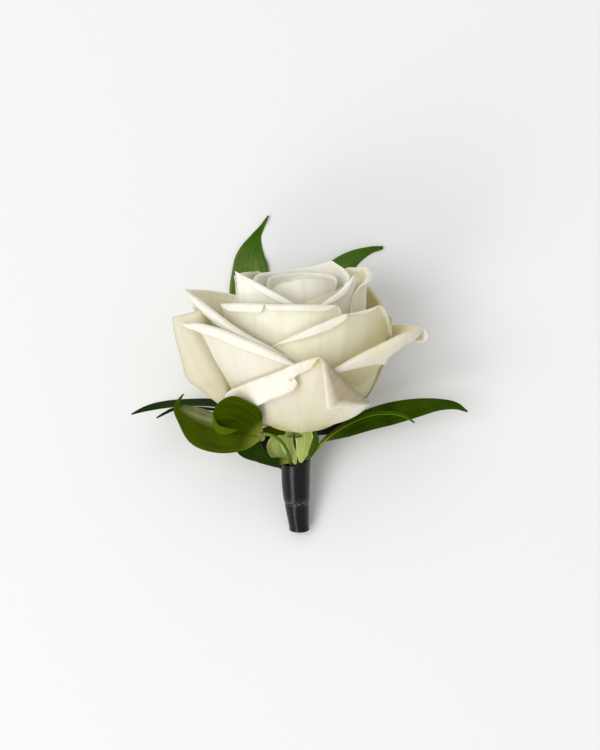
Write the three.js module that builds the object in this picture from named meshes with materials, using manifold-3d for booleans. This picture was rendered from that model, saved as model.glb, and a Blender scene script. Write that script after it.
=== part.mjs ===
// A white rose boutonniere: one open rose on its short stem, sprigs of pointed ruscus leaves round it,
// and a black satin ribbon wound round the stems. It lies on its back on a table, z = 0.
//
// Millimetres. Every piece is described upright, in the flower's own frame: x to the right, y up along
// the stem from the top of the hip, z out of the front of the flower. An azimuth is measured round the
// stem in degrees, 0 at the front and positive to the right. The whole is then laid down on the table.

import * as THREE from 'three';
import * as BufferGeometryUtils from 'three/addons/utils/BufferGeometryUtils.js';
import Module from 'manifold-3d';

const wasm = await Module();
wasm.setup();

// How the flower lies: the stem end on the table, the bloom propped up by its own width and two leaves.
const LIE_TILT = 25;
const LIFT = 16.2;
const SHIFT_X = 0.2;
const SHIFT_Y = -19.7;

// Driving dimensions
const PETAL_THICKNESS = 0.6;
const LEAF_THICKNESS = 0.6;
const CLEARANCE = 0.3;
const PETAL_BASE_RADIUS = 2.4;
const PETAL_START = 0.36;
const BLOOM_FLOOR = -0.2;

const STEM_RADIUS = 1.6;
const STEM_BEND_X = -0.7;
const HIP_RADIUS = 3.3;
const TWIG_RADIUS = 0.5;
const TWIG_END = -17.5;

// The ribbon sleeve's rings: height, centre in x, and outer radius
const WRAP_FOOT = [-32.4, -0.2, 3.2];
const WRAP_MIDDLE = [[-24.5, -0.9, 3.8], [-18.4, -1.25, 4.2]];
const WRAP_TOP = [-10.6, -1.3, 4.5];
const WRAP_WALL = 0.55;
const WRAP_FLOOR = 0.8;
const WRAP_ROUNDING = 0.5;
const WRAP_SIDES = 24;
const TAIL_THICKNESS = 0.6;

const RAD = Math.PI / 180;

// Materials
const PETAL_WHITE = { color: 0xf1ebd8, roughness: 0.55, metalness: 0 };
const SEPAL_GREEN = { color: 0x8fa052, roughness: 0.55, metalness: 0 };
const LEAF_GREEN = { color: 0x355a12, roughness: 0.35, metalness: 0 };
const SATIN_BLACK = { color: 0x1c1c20, roughness: 0.4, metalness: 0 };

// Small vector helpers

const vec = (x, y, z) => new THREE.Vector3(x, y, z);

function polar(azimuth, radius, height) {
  return vec(radius * Math.sin(azimuth * RAD), height, radius * Math.cos(azimuth * RAD));
}

function bezier(a, b, c, d, t) {
  const s = 1 - t;
  return a * s ** 3 + 3 * b * s * s * t + 3 * c * s * t * t + d * t ** 3;
}

function catmullRom(p0, p1, p2, p3, t) {
  return 0.5 * (2 * p1 + (p2 - p0) * t + (2 * p0 - 5 * p1 + 4 * p2 - p3) * t * t
    + (3 * p1 - p0 - 3 * p2 + p3) * t ** 3);
}

// A smooth run through rows of numbers. A row given twice running is a corner.
function smoothRows(rows, steps) {
  const made = [rows[0]];
  for (let i = 0; i < rows.length - 1; i += 1) {
    const a = rows[i];
    const b = rows[i + 1];
    if (a.every((v, k) => v === b[k])) continue;
    const before = rows[i - 1] ?? a.map((v, k) => 2 * v - b[k]);
    const after = rows[i + 2] ?? b.map((v, k) => 2 * v - a[k]);
    for (let n = 1; n <= steps; n += 1) {
      made.push(a.map((v, k) => catmullRom(before[k], v, b[k], after[k], n / steps)));
    }
  }
  return made;
}

// Solids from sheets and tubes

function solidFrom(points, triangles) {
  const vertProperties = new Float32Array(points.flatMap((p) => [p.x, p.y, p.z]));
  const mesh = new wasm.Mesh({ numProp: 3, vertProperties, triVerts: new Uint32Array(triangles) });
  return new wasm.Manifold(mesh);
}

function solidOfGeometry(geometry) {
  const bare = geometry.clone();
  bare.deleteAttribute('normal');
  bare.deleteAttribute('uv');
  const merged = BufferGeometryUtils.mergeVertices(bare, 1e-4);
  const mesh = new wasm.Mesh({
    numProp: 3,
    vertProperties: new Float32Array(merged.attributes.position.array),
    triVerts: new Uint32Array(merged.index.array),
  });
  return new wasm.Manifold(mesh);
}

// The outer shell of a fused solid: hollows that the fusing sealed are filled, and loose scraps dropped.
function outerShell(solid) {
  const mesh = solid.getMesh();
  const { triVerts } = mesh;
  const places = mesh.vertProperties;
  const parent = Array.from({ length: places.length / 3 }, (_, i) => i);
  const root = (i) => {
    let r = i;
    while (parent[r] !== r) r = parent[r];
    parent[i] = r;
    return r;
  };
  for (let i = 0; i < triVerts.length; i += 3) {
    parent[root(triVerts[i + 1])] = root(triVerts[i]);
    parent[root(triVerts[i + 2])] = root(triVerts[i]);
  }
  const corner = (i) => vec(places[3 * i], places[3 * i + 1], places[3 * i + 2]);
  const shells = new Map();
  for (let i = 0; i < triVerts.length; i += 3) {
    const [a, b, c] = triVerts.slice(i, i + 3);
    const shell = shells.get(root(a)) ?? { volume: 0, triangles: [] };
    shell.volume += corner(a).dot(corner(b).cross(corner(c))) / 6;
    shell.triangles.push(a, b, c);
    shells.set(root(a), shell);
  }
  const largest = [...shells.values()].sort((p, q) => q.volume - p.volume)[0];
  const geometry = new THREE.BufferGeometry();
  geometry.setAttribute('position', new THREE.BufferAttribute(new Float32Array(places), 3));
  geometry.setIndex(largest.triangles);
  const tidy = BufferGeometryUtils.mergeVertices(geometry.toNonIndexed(), 0);
  tidy.computeVertexNormals();
  return tidy;
}

function joined(solids) {
  return solids.reduce((whole, piece) => whole.add(piece));
}

// A grid of points, one row per step across the blade, becomes a blade of even thickness. Both faces are
// split into the same triangles.
function blade(grid, thickness) {
  const across = grid.length;
  const along = grid[0].length;
  const at = (i, j) => grid[THREE.MathUtils.clamp(i, 0, across - 1)][THREE.MathUtils.clamp(j, 0, along - 1)];
  const front = [];
  const back = [];
  for (let i = 0; i < across; i += 1) {
    for (let j = 0; j < along; j += 1) {
      const u = at(i + 1, j).clone().sub(at(i - 1, j));
      const v = at(i, j + 1).clone().sub(at(i, j - 1));
      const normal = u.cross(v).normalize();
      front.push(at(i, j).clone().addScaledVector(normal, thickness / 2));
      back.push(at(i, j).clone().addScaledVector(normal, -thickness / 2));
    }
  }
  const points = front.concat(back);
  const under = front.length;
  const triangles = [];
  const quad = (a, b, c, d) => triangles.push(a, b, c, a, c, d);
  const id = (i, j) => i * along + j;
  for (let i = 0; i < across - 1; i += 1) {
    for (let j = 0; j < along - 1; j += 1) {
      const corners = [id(i, j), id(i + 1, j), id(i + 1, j + 1), id(i, j + 1)];
      quad(...corners);
      const [a, b, c, d] = corners.map((k) => k + under);
      triangles.push(a, c, b, a, d, c);
    }
  }
  const rim = [];
  for (let i = 0; i < across - 1; i += 1) rim.push(id(i, 0));
  for (let j = 0; j < along - 1; j += 1) rim.push(id(across - 1, j));
  for (let i = across - 1; i > 0; i -= 1) rim.push(id(i, along - 1));
  for (let j = along - 1; j > 0; j -= 1) rim.push(id(0, j));
  rim.forEach((a, k) => {
    const b = rim[(k + 1) % rim.length];
    quad(b, a, a + under, b + under);
  });
  return solidFrom(points, triangles);
}

// A blade from rows of three points: one edge, the middle line and the other edge
const CROSS_STEPS = [-1, -0.5, 0, 0.5, 1];

function ruledBlade(rows, thickness) {
  const lines = rows.map((row) => {
    const [first, middle, last] = row.map((place) => vec(...place));
    const lean = last.clone().sub(first).multiplyScalar(0.5);
    const bow = last.clone().add(first).multiplyScalar(0.5).sub(middle);
    return CROSS_STEPS.map((s) => middle.clone().addScaledVector(lean, s).addScaledVector(bow, s * s));
  });
  return blade(CROSS_STEPS.map((_, k) => lines.map((line) => line[k])), thickness);
}

// A round stem through points, each row x, y, z, radius
function stem(rows, steps, sides) {
  const path = smoothRows(rows, steps);
  const places = path.map((row) => vec(row[0], row[1], row[2]));
  const points = [];
  let side = vec(1, 0, 0);
  places.forEach((place, i) => {
    const ahead = (places[i + 1] ?? place).clone().sub(places[i - 1] ?? place).normalize();
    side = side.clone().addScaledVector(ahead, -side.dot(ahead)).normalize();
    const other = ahead.clone().cross(side);
    for (let k = 0; k < sides; k += 1) {
      const turn = (2 * Math.PI * k) / sides;
      const radius = path[i][3];
      points.push(place.clone().addScaledVector(side, radius * Math.cos(turn))
        .addScaledVector(other, radius * Math.sin(turn)));
    }
  });
  const triangles = [];
  const last = (places.length - 1) * sides;
  for (let i = 0; i < places.length - 1; i += 1) {
    for (let k = 0; k < sides; k += 1) {
      const next = (k + 1) % sides;
      const a = i * sides + k;
      const b = i * sides + next;
      triangles.push(a, b, b + sides, a, b + sides, a + sides);
    }
  }
  for (let k = 1; k < sides - 1; k += 1) {
    triangles.push(0, k + 1, k);
    triangles.push(last, last + k, last + k + 1);
  }
  return solidFrom(points, triangles);
}

// Petals
//
// Each petal grows from the hip, swells to its belly and ends at a fold line. The margin beyond the fold
// rolls outwards and down again. A rim row is: azimuth, radius, height and width of the rolled margin.

const PETALS = [
  {
    name: 'front low petal', azimuth: 0, belly: 25, roll: 0.8, turn: 172,
    rim: [[-62, 21.5, 8.6, 0.3], [-54, 25.4, 14, 3.5], [-37, 26.5, 18.4, 8.2], [-18, 27.5, 22.6, 8.7],
      [-8, 28.2, 25, 8.2], [-5, 28.5, 25.9, 5.2], [4, 29.8, 27.8, 4.2], [9.6, 31, 29, 1.6],
      [14, 30.2, 26.8, 4.6], [22, 29, 22.6, 9], [27.8, 28.5, 19.6, 10.7], [34, 28, 17, 7.6],
      [45, 26.5, 12.6, 3], [55, 24, 8.8, 0.3]],
  },
  {
    name: 'left front petal', azimuth: -32, belly: 25, roll: 1.2, turn: 178,
    rim: [[-61, 24, 12, 0.3], [-61, 26, 22, 0.8], [-60.5, 27.4, 28.6, 0.8], [-66.5, 36, 34.4, 1.4],
      [-58.2, 32.5, 35.4, 5.4], [-43.3, 29.5, 33.9, 6.4], [-24.3, 28, 31, 6], [-9.2, 27, 27.3, 4.4],
      [3, 26, 23, 1]],
  },
  {
    name: 'left back petal', azimuth: -100, belly: 25, roll: 1.2, turn: 120,
    rim: [[-134, 24, 20, 0.4], [-126, 26.5, 29, 1.2], [-105, 29.5, 33.5, 1.6], [-86, 30.4, 35.6, 1.2],
      [-72, 28, 30, 0.6], [-68, 24, 18, 0.3]],
  },
  {
    name: 'upper left petal', azimuth: -75, belly: 24, roll: 1.2, turn: 175,
    rim: [[-134, 22.5, 30, 0.4], [-127.6, 23.5, 36.6, 0.5], [-113.5, 28, 39.2, 0.6], [-92, 31.8, 41.8, 0.7],
      [-72, 34.5, 44.2, 0.9], [-69, 31, 41.2, 3.6], [-54.2, 28, 37.6, 6], [-36.2, 26, 33.3, 5.4],
      [-16.8, 25, 29.2, 3.6], [-4, 24, 25, 0.8]],
  },
  {
    name: 'wide front petal', azimuth: -15, belly: 21, roll: 0.9, turn: 172,
    rim: [[-66, 23.4, 34, 0.3], [-63.6, 25, 39.4, 0.8], [-55, 24.2, 40.6, 3.8], [-38, 22.8, 41.5, 4.3],
      [-28, 22.5, 41.8, 4], [-25, 22.5, 41.8, 1.4], [-21, 22.5, 42, 3.4], [0, 22.5, 42.2, 3.6],
      [18.7, 22.5, 41.8, 3.4], [27.7, 23, 41, 1.2], [33, 22.5, 35.4, 0.3]],
  },
  {
    name: 'right middle petal', azimuth: 25, belly: 24, roll: 0.9, turn: 170,
    rim: [[-22, 23.6, 28.2, 0.3], [-13.6, 24.3, 31.2, 2], [6.6, 25, 35.8, 3.9], [20, 25.6, 38.2, 4],
      [29.3, 26.5, 39.6, 1.5], [43.7, 26, 39.6, 3], [58.6, 27, 40, 1.2], [68.4, 27.3, 35, 2.4],
      [77.5, 27, 29.8, 2], [84, 26, 22, 0.3]],
  },
  {
    name: 'right outer petal', azimuth: 62, belly: 25, roll: 1, turn: 160, waist: 17, low: 16,
    rim: [[16, 26.2, 21, 0.3], [20.7, 27, 23.9, 2.8], [31.1, 28, 26.8, 6.4], [40, 30, 29.3, 9],
      [47, 32.6, 31.4, 12], [55, 35.6, 33.6, 9], [64, 37.4, 34, 6], [69, 38.2, 33.6, 4.6],
      [84, 33.5, 31.5, 2], [104, 28.6, 29.6, 1], [118, 25, 22, 0.3]],
  },
  {
    name: 'upper right petal', azimuth: 90, belly: 20, roll: 1.1, turn: 175,
    rim: [[52, 18.6, 37, 0.3], [58, 19, 43.4, 1.2], [75, 19.6, 45.6, 3], [100, 19.8, 46.2, 3.2],
      [111.9, 20.4, 46.9, 1.4], [123, 19.6, 45.8, 3], [137, 19.2, 44.6, 2.6], [150, 19, 38, 0.4]],
  },
  {
    name: 'right back petal', azimuth: 125, belly: 24, roll: 1.2, turn: 150,
    rim: [[78, 26, 23, 0.3], [82, 27, 31.5, 1], [107.4, 26.6, 33, 1.2], [118.8, 26, 37, 1.4],
      [128.4, 25, 39.6, 1.6], [150, 24, 40, 2.4], [170, 23, 34, 0.4]],
  },
  {
    name: 'slanting right petal', azimuth: 45, belly: 18, roll: 0.7, turn: 165,
    rim: [[12, 16, 36, 0.3], [22.8, 16.5, 41, 2.2], [45.1, 16.8, 44.6, 3], [58.7, 18.5, 48.4, 1],
      [70, 18, 45, 1.2], [84, 17.4, 37, 0.3]],
  },
  {
    name: 'petal wrapping the bud', azimuth: 150, belly: 15, roll: 1, turn: 110,
    rim: [[74, 14.4, 33, 0.3], [72, 14.4, 40.5, 0.7], [68, 14.2, 44.6, 1.2], [100, 14, 45.6, 1.4],
      [122, 13.8, 47.2, 1], [136.3, 13.6, 48.8, 0.9], [166.6, 13.2, 47.2, 0.9], [203.3, 13, 45.6, 0.7],
      [230, 12.6, 39, 0.3]],
  },
  {
    name: 'slanting left petal', azimuth: -50, belly: 18, roll: 0.7, turn: 172,
    rim: [[-84, 18.6, 38, 0.3], [-74, 19.6, 45, 0.8], [-60.4, 21.5, 49.8, 0.7], [-37.9, 18, 46.4, 3.2],
      [-9.8, 17, 42, 2.8], [8, 16, 36, 0.3]],
  },
  {
    name: 'left inner petal', azimuth: -95, belly: 19, roll: 1, turn: 150,
    rim: [[-150, 16, 37, 0.3], [-136.5, 16.4, 43, 1], [-124, 17, 44.4, 1], [-100, 17.6, 44.8, 1.2],
      [-70, 18.6, 45.2, 1], [-61, 19, 44.6, 1.2], [-58, 19.2, 41, 1.2], [-56, 19.2, 36, 0.4]],
  },
  {
    name: 'bud petal, left', azimuth: -115, belly: 13, roll: 0.9, turn: 130,
    rim: [[-175, 11.6, 39, 0.3], [-160, 12, 45, 0.8], [-136.5, 12.5, 45.9, 1.4], [-100, 12.6, 46, 1.2],
      [-71.6, 14, 44.4, 0.9], [-60, 14.4, 38, 0.3]],
  },
  {
    name: 'bud petal, back', azimuth: 165, belly: 10, roll: 0.8, turn: 120,
    rim: [[84, 10.4, 40, 0.3], [96, 10.4, 46, 0.9], [121.3, 10.5, 46.8, 1.1], [165, 9.6, 46.4, 1.1],
      [214.5, 9.4, 45.4, 1], [258, 9.6, 44.4, 0.8], [278, 10, 39, 0.3]],
  },
  {
    name: 'bud petal, front', azimuth: 15, belly: 11, roll: 0.7, turn: 110,
    rim: [[-75, 10.6, 37, 0.3], [-47.5, 9.4, 43.4, 0.7], [-18, 8.4, 45.8, 0.9], [4.2, 8.2, 46.5, 0.9],
      [38, 8.6, 46.2, 0.9], [69, 9.6, 44.6, 0.7], [90, 11, 38, 0.3]],
  },
];

// The tight heart of the bud: small petals wound in a spiral, each wrapping two thirds of the way round.
const HEART = {
  petals: 4, firstAzimuth: 40, goldenTurn: 137.5, radius: 2.2, spacing: 1.45, top: 45.4, drop: 0.3,
};

function heartPetal(index) {
  const azimuth = HEART.firstAzimuth + HEART.goldenTurn * index;
  const radius = HEART.radius + HEART.spacing * index;
  const top = HEART.top - HEART.drop * index;
  const shape = [[-118, 0.5, -6, 0.3], [-85, 0.35, -1.2, 0.4], [-40, 0.1, 0, 0.6], [0, 0, 0.4, 0.7],
    [45, -0.2, 0, 0.6], [90, -0.45, -1.2, 0.4], [118, -0.6, -6, 0.3]];
  const rim = shape.map(([turn, out, up, margin]) => [azimuth + turn, radius + out, top + up, margin]);
  return { azimuth, belly: radius + 1.5, roll: 0.6, turn: 90, rim };
}

// Petals round the back, in three layers, kept close because the flower lies on them.
const BACK_LAYERS = [
  { belly: 23, radius: 24, top: 33, margin: 4.6, places: [[-155, 31], [172, 33], [132, 31]] },
  { belly: 21.5, radius: 22.5, top: 38, margin: 3.8, places: [[-172, 30], [-135, 28]] },
  { belly: 18.5, radius: 19.5, top: 42.5, margin: 3, places: [[-158, 34], [165, 32]] },
];

function backPetal(layer, azimuth, half) {
  const shape = [[-1, -2.6, -14, 0.07], [-0.85, -1.2, -6.5, 0.55], [-0.4, 0, -2.4, 1], [0.06, 1.6, 0, 0.5],
    [0.4, 0, -2.2, 1], [0.85, -1.2, -6, 0.55], [1, -2.6, -14, 0.07]];
  const rim = shape.map(([turn, out, up, share]) => [
    azimuth + turn * half, layer.radius + out, layer.top + up, layer.margin * share]);
  return { azimuth, belly: layer.belly, roll: 1, turn: 168, rim };
}

const FACE_STEPS = 2;
const TIGHT_ROLL = 1.15;

function petalGrid(petal) {
  const waist = petal.waist ?? petal.belly * 0.96;
  const low = petal.low ?? petal.belly * 0.4;
  const most = petal.turn * RAD;
  const rollSteps = petal.roll < TIGHT_ROLL ? 2 : 3;
  const centre = (row, t) => {
    const [azimuth, radius, height] = row;
    const full = Math.min(height / 20, 1);
    const r = bezier(PETAL_BASE_RADIUS, petal.belly * 0.56 * (0.55 + 0.45 * full),
      waist * (0.72 + 0.28 * full), radius, t);
    const h = bezier(0, -0.3, Math.min(low, height * 0.5), height, t);
    const fan = 0.5 + 0.5 * (1 - (1 - t) ** 2);
    return polar(petal.azimuth + (azimuth - petal.azimuth) * fan, r, h);
  };
  const edges = petal.rim.map((row) => centre(row, 1));
  return petal.rim.map((row, i) => {
    const points = [];
    for (let k = 0; k <= FACE_STEPS; k += 1) {
      points.push(centre(row, PETAL_START + ((1 - PETAL_START) * k) / FACE_STEPS));
    }
    const edge = edges[i];
    const up = edge.clone().sub(points[FACE_STEPS - 1]).normalize();
    const sideways = vec(Math.cos(row[0] * RAD), 0, -Math.sin(row[0] * RAD));
    const out = sideways.cross(up).normalize();
    const rimAhead = (edges[i + 1] ?? edge).clone().sub(edges[i - 1] ?? edge).normalize();
    const away = out.clone().cross(rimAhead).normalize();
    const margin = row[3];
    const rolled = Math.min(most * petal.roll, margin * 0.8);
    for (let k = 1; k <= rollSteps + 1; k += 1) {
      const d = k <= rollSteps ? (rolled * k) / rollSteps : margin;
      const theta = Math.min(d / petal.roll, most);
      const rest = Math.max(d - petal.roll * most, 0);
      const forward = petal.roll * Math.sin(theta) + rest * Math.cos(theta);
      const lift = petal.roll * (1 - Math.cos(theta)) + rest * Math.sin(theta);
      points.push(edge.clone().addScaledVector(away, forward).addScaledVector(out, lift));
    }
    return points;
  });
}

// The closed inner leaves of the bloom, as one smaller core that the petals stand out of
const CORE_PROFILE = [
  [0, BLOOM_FLOOR], [3.4, BLOOM_FLOOR], [8.6, 1.2], [13.6, 4], [17.2, 8], [18.6, 13], [18.2, 21], [16, 30],
  [12, 37], [7.6, 41], [0, 42],
];
const CORE_SIDES = 16;

// The petal out to the left is folded along a ridge. Its rows, from the top to the hip, give its outer
// edge, the ridge and its inner edge as points.
const FOLDED_PETAL = [
  [[-37.8, 35.2, 6], [-32.8, 37.4, 13], [-26.5, 37.6, 13.5]],
  [[-36.9, 30.4, 8], [-31.5, 32.5, 16.5], [-23, 30.8, 9.5]],
  [[-35.2, 23.9, 9], [-28.1, 25.6, 16], [-22.8, 23.9, 9]],
  [[-33.4, 17.7, 10], [-24.6, 19.2, 15], [-21, 17, 8.4]],
  [[-29, 14.2, 11], [-22.4, 15.2, 13.5], [-20.4, 13.4, 9.4]],
  [[-24.8, 11, 11.5], [-21.9, 11, 12], [-20.4, 9.9, 10]],
  [[-19, 6, 9.5], [-17.5, 5.8, 9.5], [-16, 5.4, 8.5]],
  [[-10.5, 2, 5.5], [-9.8, 1.9, 5.2], [-9, 1.8, 4.8]],
  [[-2.6, 0.2, 1.6], [-2.4, 0.2, 1.2], [-2.2, 0.2, 0.8]],
];

function roseBloom() {
  const petals = PETALS.slice();
  for (let i = 0; i < HEART.petals; i += 1) petals.push(heartPetal(i));
  BACK_LAYERS.forEach((layer) => {
    layer.places.forEach(([azimuth, half]) => petals.push(backPetal(layer, azimuth, half)));
  });
  const profile = CORE_PROFILE.map(([r, h]) => new THREE.Vector2(r, h));
  const core = solidOfGeometry(new THREE.LatheGeometry(profile, CORE_SIDES));
  const blades = petals.map((petal) => blade(petalGrid(petal), PETAL_THICKNESS));
  return joined([core, ruledBlade(FOLDED_PETAL, PETAL_THICKNESS), ...blades]);
}

// Leaves
//
// A leaf row is: x, y, z of the midrib, the half widths left and right of it seen from the base, the
// blade's roll about the midrib and the lift of its halves, both in degrees.

function leafGrid(rows) {
  const places = rows.map((row) => vec(row[0], row[1], row[2]));
  const lines = rows.map((row, i) => {
    const ahead = (places[i + 1] ?? places[i]).clone().sub(places[i - 1] ?? places[i]).normalize();
    const right = ahead.clone().cross(vec(0, 0, 1)).normalize();
    const face = right.clone().cross(ahead);
    const roll = row[5] * RAD;
    const rolledRight = right.clone().multiplyScalar(Math.cos(roll)).addScaledVector(face, -Math.sin(roll));
    const rolledFace = face.clone().multiplyScalar(Math.cos(roll)).addScaledVector(right, Math.sin(roll));
    const fold = row[6] * RAD;
    return CROSS_STEPS.map((s) => {
      const width = (s < 0 ? row[3] : row[4]) * Math.abs(s);
      const bend = Math.abs(s) ** 0.3;
      return places[i].clone()
        .addScaledVector(rolledRight, Math.sign(s) * width * Math.cos(fold))
        .addScaledVector(rolledFace, width * Math.sin(fold) * bend);
    });
  });
  return CROSS_STEPS.map((_, k) => lines.map((line) => line[k]));
}

function leaf(rows) {
  return blade(leafGrid(rows), LEAF_THICKNESS);
}

// The leaf that shows above the bloom on the left, and under the bloom lies on the table
const LEAF_TOP_LEFT = [
  [-1, -3.5, -9.5, 0.6, 0.6, 0, 0], [-5, 4, -17.2, 3.2, 3.2, 0, 4], [-10, 16, -24.4, 6.4, 6.4, 0, 4],
  [-14.4, 31, -31.8, 7, 7, 0, 5], [-16.2, 41.5, -37, 5.8, 6, 0, 7], [-15, 48.5, -40.3, 3.8, 3.8, 0, 10],
  [-12.6, 53.6, -42.2, 2, 1.8, 0, 10], [-10.6, 57, -43, 0.2, 0.2, 0, 0],
];

// The leaf that shows above the bloom on the right
const LEAF_TOP_RIGHT = [
  [1, -3.5, -9.5, 0.6, 0.6, 0, 0], [3, 6, -18.2, 3, 3, 0, 4], [4.6, 20, -26.2, 5.6, 5.6, 0, 4],
  [6.8, 32, -32.2, 6.2, 6.2, 0, 5], [10.8, 40, -36.2, 5, 5.4, 0, 6], [16, 44.4, -38.2, 3.6, 3.6, 0, 8],
  [21.6, 46.9, -39, 1.8, 1.8, 0, 10], [26, 48.2, -39, 0.2, 0.2, 0, 0],
];

// Two narrow leaves seen on edge, out to the left
const LEAF_FAR_LEFT = [
  [-0.2, -4, -9, 0.5, 0.5, 60, 0], [-10, 0.4, -10, 2.4, 2.4, 80, 4], [-18.5, 3.6, -10, 4.2, 4.2, 88, 4],
  [-27, 5.1, -9, 4.6, 4.6, 90, 4], [-35, 5.4, -8, 4.2, 4.2, 90, 4], [-42.5, 5.1, -6.5, 2.8, 2.8, 84, 4],
  [-47, 4.5, -5, 1.5, 1.5, 76, 2], [-51, 3.4, -3, 0.2, 0.2, 70, 0],
];
const LEAF_LEFT_NARROW = [
  [-0.2, -4, -9, 0.5, 0.5, 60, 0], [-12, -0.8, -13.6, 1.8, 1.8, 84, 2], [-21.5, 1, -14.6, 2.4, 2.4, 94, 2],
  [-31, 2.4, -14, 2.2, 2.2, 94, 2], [-38, 2.6, -12.5, 1.4, 1.4, 86, 2], [-41, 1.8, -11, 0.8, 0.8, 76, 0],
  [-43.8, 0.5, -9.5, 0.2, 0.2, 60, 0],
];

// The broad leaf at the front left, ridged along its midrib, with its tip curled up
const LEAF_FRONT_LEFT = [
  [-11.6, -1.3, 6.4, 0.7, 0.7, 20, -10], [-16.4, -0.4, 8, 4.6, 3.6, 30, -24],
  [-22.3, 1.6, 9.5, 7.2, 6.4, 33, -33], [-28.8, 4.2, 11, 7.2, 6.6, 33, -33],
  [-33.8, 7.2, 12, 3.6, 4, 33, -26], [-36.3, 9.4, 12.5, 1.2, 1.2, 20, -10],
  [-35.8, 11.6, 12.5, 0.5, 0.5, 0, 0], [-34.4, 13.6, 12, 0.2, 0.2, 0, 0],
];

// The round leaf above it, curled like a claw so that its tip comes back to the front. It lies close over
// the bloom, so each row gives the lower edge, the midrib and the upper edge as points.
const LEAF_ROUND = [
  [[-12.2, -0.2, 6.6], [-11.6, 0.3, 6.8], [-11, 0.9, 7.2]],
  [[-15, 0.4, 9.6], [-13.6, 2.6, 11], [-11.2, 5.2, 15.8]],
  [[-18.2, 0.8, 12.6], [-16.2, 5.2, 14.8], [-11.4, 9.6, 20.2]],
  [[-20.6, 1.4, 14.8], [-19, 7, 17.2], [-14.4, 11.8, 23]],
  [[-22.4, 2.4, 16.4], [-21.8, 7.8, 18], [-18.8, 14, 21.4]],
  [[-23.8, 3.2, 17.6], [-24.2, 7.2, 18.4], [-22.8, 12.6, 20]],
  [[-24.2, 3.6, 18.8], [-25.6, 6.6, 19], [-25.2, 9.8, 19.2]],
  [[-23.2, 3.8, 20.4], [-24.4, 6.2, 20.6], [-23.8, 8.4, 20.4]],
  [[-20.8, 4.4, 21.4], [-21.4, 5.8, 21.4], [-21.4, 7, 21.2]],
  [[-18.5, 5.2, 21], [-18.3, 5.4, 21], [-18.3, 5.7, 21]],
];

// The low leaf behind it, its lower edge turned up
const LEAF_LOW_LEFT = [
  [-3.3, -9.4, 4.4, 0.6, 0.6, 0, 0], [-6.4, -9.2, 4.7, 1.4, 1, 0, 10], [-9, -8.7, 4.6, 1.8, 1.2, 0, 10],
  [-11.4, -7.8, 4.4, 2.1, 4.8, 0, 8], [-14.8, -6.4, 3.6, 2.8, 5.2, 0, 8], [-17.4, -5, 2.8, 2.4, 3.6, 0, 6],
  [-19.4, -3.2, 2.2, 0.2, 0.2, 0, 0],
];

// The long leaf out to the right, and the narrow one seen on edge that arches over it
const LEAF_RIGHT = [
  [7.4, -4.4, -2.4, 0.6, 0.6, 0, 0], [14.4, -1.8, -4.6, 2.6, 2.4, -30, 6],
  [21.3, 0.6, -5.6, 3.8, 3.2, -38, 8], [28, 2.8, -5.6, 3.8, 3.8, -40, 8],
  [35, 4.8, -5, 3, 3.4, -40, 8], [41.8, 6.1, -4, 1.9, 2.1, -36, 8],
  [47, 6.1, -3, 1.1, 1.2, -30, 6], [50.6, 4.5, -2, 0.2, 0.2, -20, 0],
];
const LEAF_RIGHT_EDGE = [
  [6.2, -4.4, 3, 0.6, 0.6, -80, 0], [10.8, 0, 3.8, 1.5, 1.5, -90, 0], [16, 3.4, 4.8, 2.3, 2.3, -92, 2],
  [21.5, 5.6, 5, 2.6, 2.6, -94, 2], [27.5, 6, 5.2, 2, 2, -92, 2], [31.4, 5.1, 5.6, 1.1, 1.1, -84, 0],
  [34.2, 3.2, 6, 0.2, 0.2, -70, 0],
];

// The table, as a block to cut away what would reach below it
const TABLE_WIDTH = 300;
const TABLE_DEPTH = 40;

function tableBlock(lying) {
  const block = new THREE.BoxGeometry(TABLE_WIDTH, TABLE_WIDTH, TABLE_DEPTH);
  block.translate(0, 0, -TABLE_DEPTH / 2);
  lying.updateMatrixWorld();
  block.applyMatrix4(lying.matrixWorld.clone().invert());
  return solidOfGeometry(block);
}

const TWIG_SIDES = 8;

function backSprig() {
  const twig = stem([[STEM_BEND_X, TWIG_END, -2.5, TWIG_RADIUS], [STEM_BEND_X, -14, -2.5, TWIG_RADIUS],
    [-0.6, -11, -2.6, TWIG_RADIUS], [-0.4, -7, -5.2, TWIG_RADIUS], [0, -4, -9, 0.7], [0, -1.6, -12, 0.4]],
  2, TWIG_SIDES);
  const leaves = [LEAF_TOP_LEFT, LEAF_TOP_RIGHT, LEAF_FAR_LEFT, LEAF_LEFT_NARROW];
  return joined([twig, ...leaves.map((rows) => leaf(rows))]);
}

function leftSprig() {
  const twig = stem([[-2.5, TWIG_END, 1.75, TWIG_RADIUS], [-2.5, -14, 1.8, TWIG_RADIUS],
    [-2.5, -12, 1.9, TWIG_RADIUS], [-2.75, -10.6, 2.8, TWIG_RADIUS], [-3.2, -9, 4.7, TWIG_RADIUS],
    [-3.9, -5, 6.9, TWIG_RADIUS], [-6.4, -1.5, 7.5, TWIG_RADIUS], [-9.6, 0, 7.2, TWIG_RADIUS],
    [-12.2, -0.3, 6.8, 0.7]], 2, TWIG_SIDES);
  return joined([twig, leaf(LEAF_FRONT_LEFT), ruledBlade(LEAF_ROUND, LEAF_THICKNESS), leaf(LEAF_LOW_LEFT)]);
}

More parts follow.
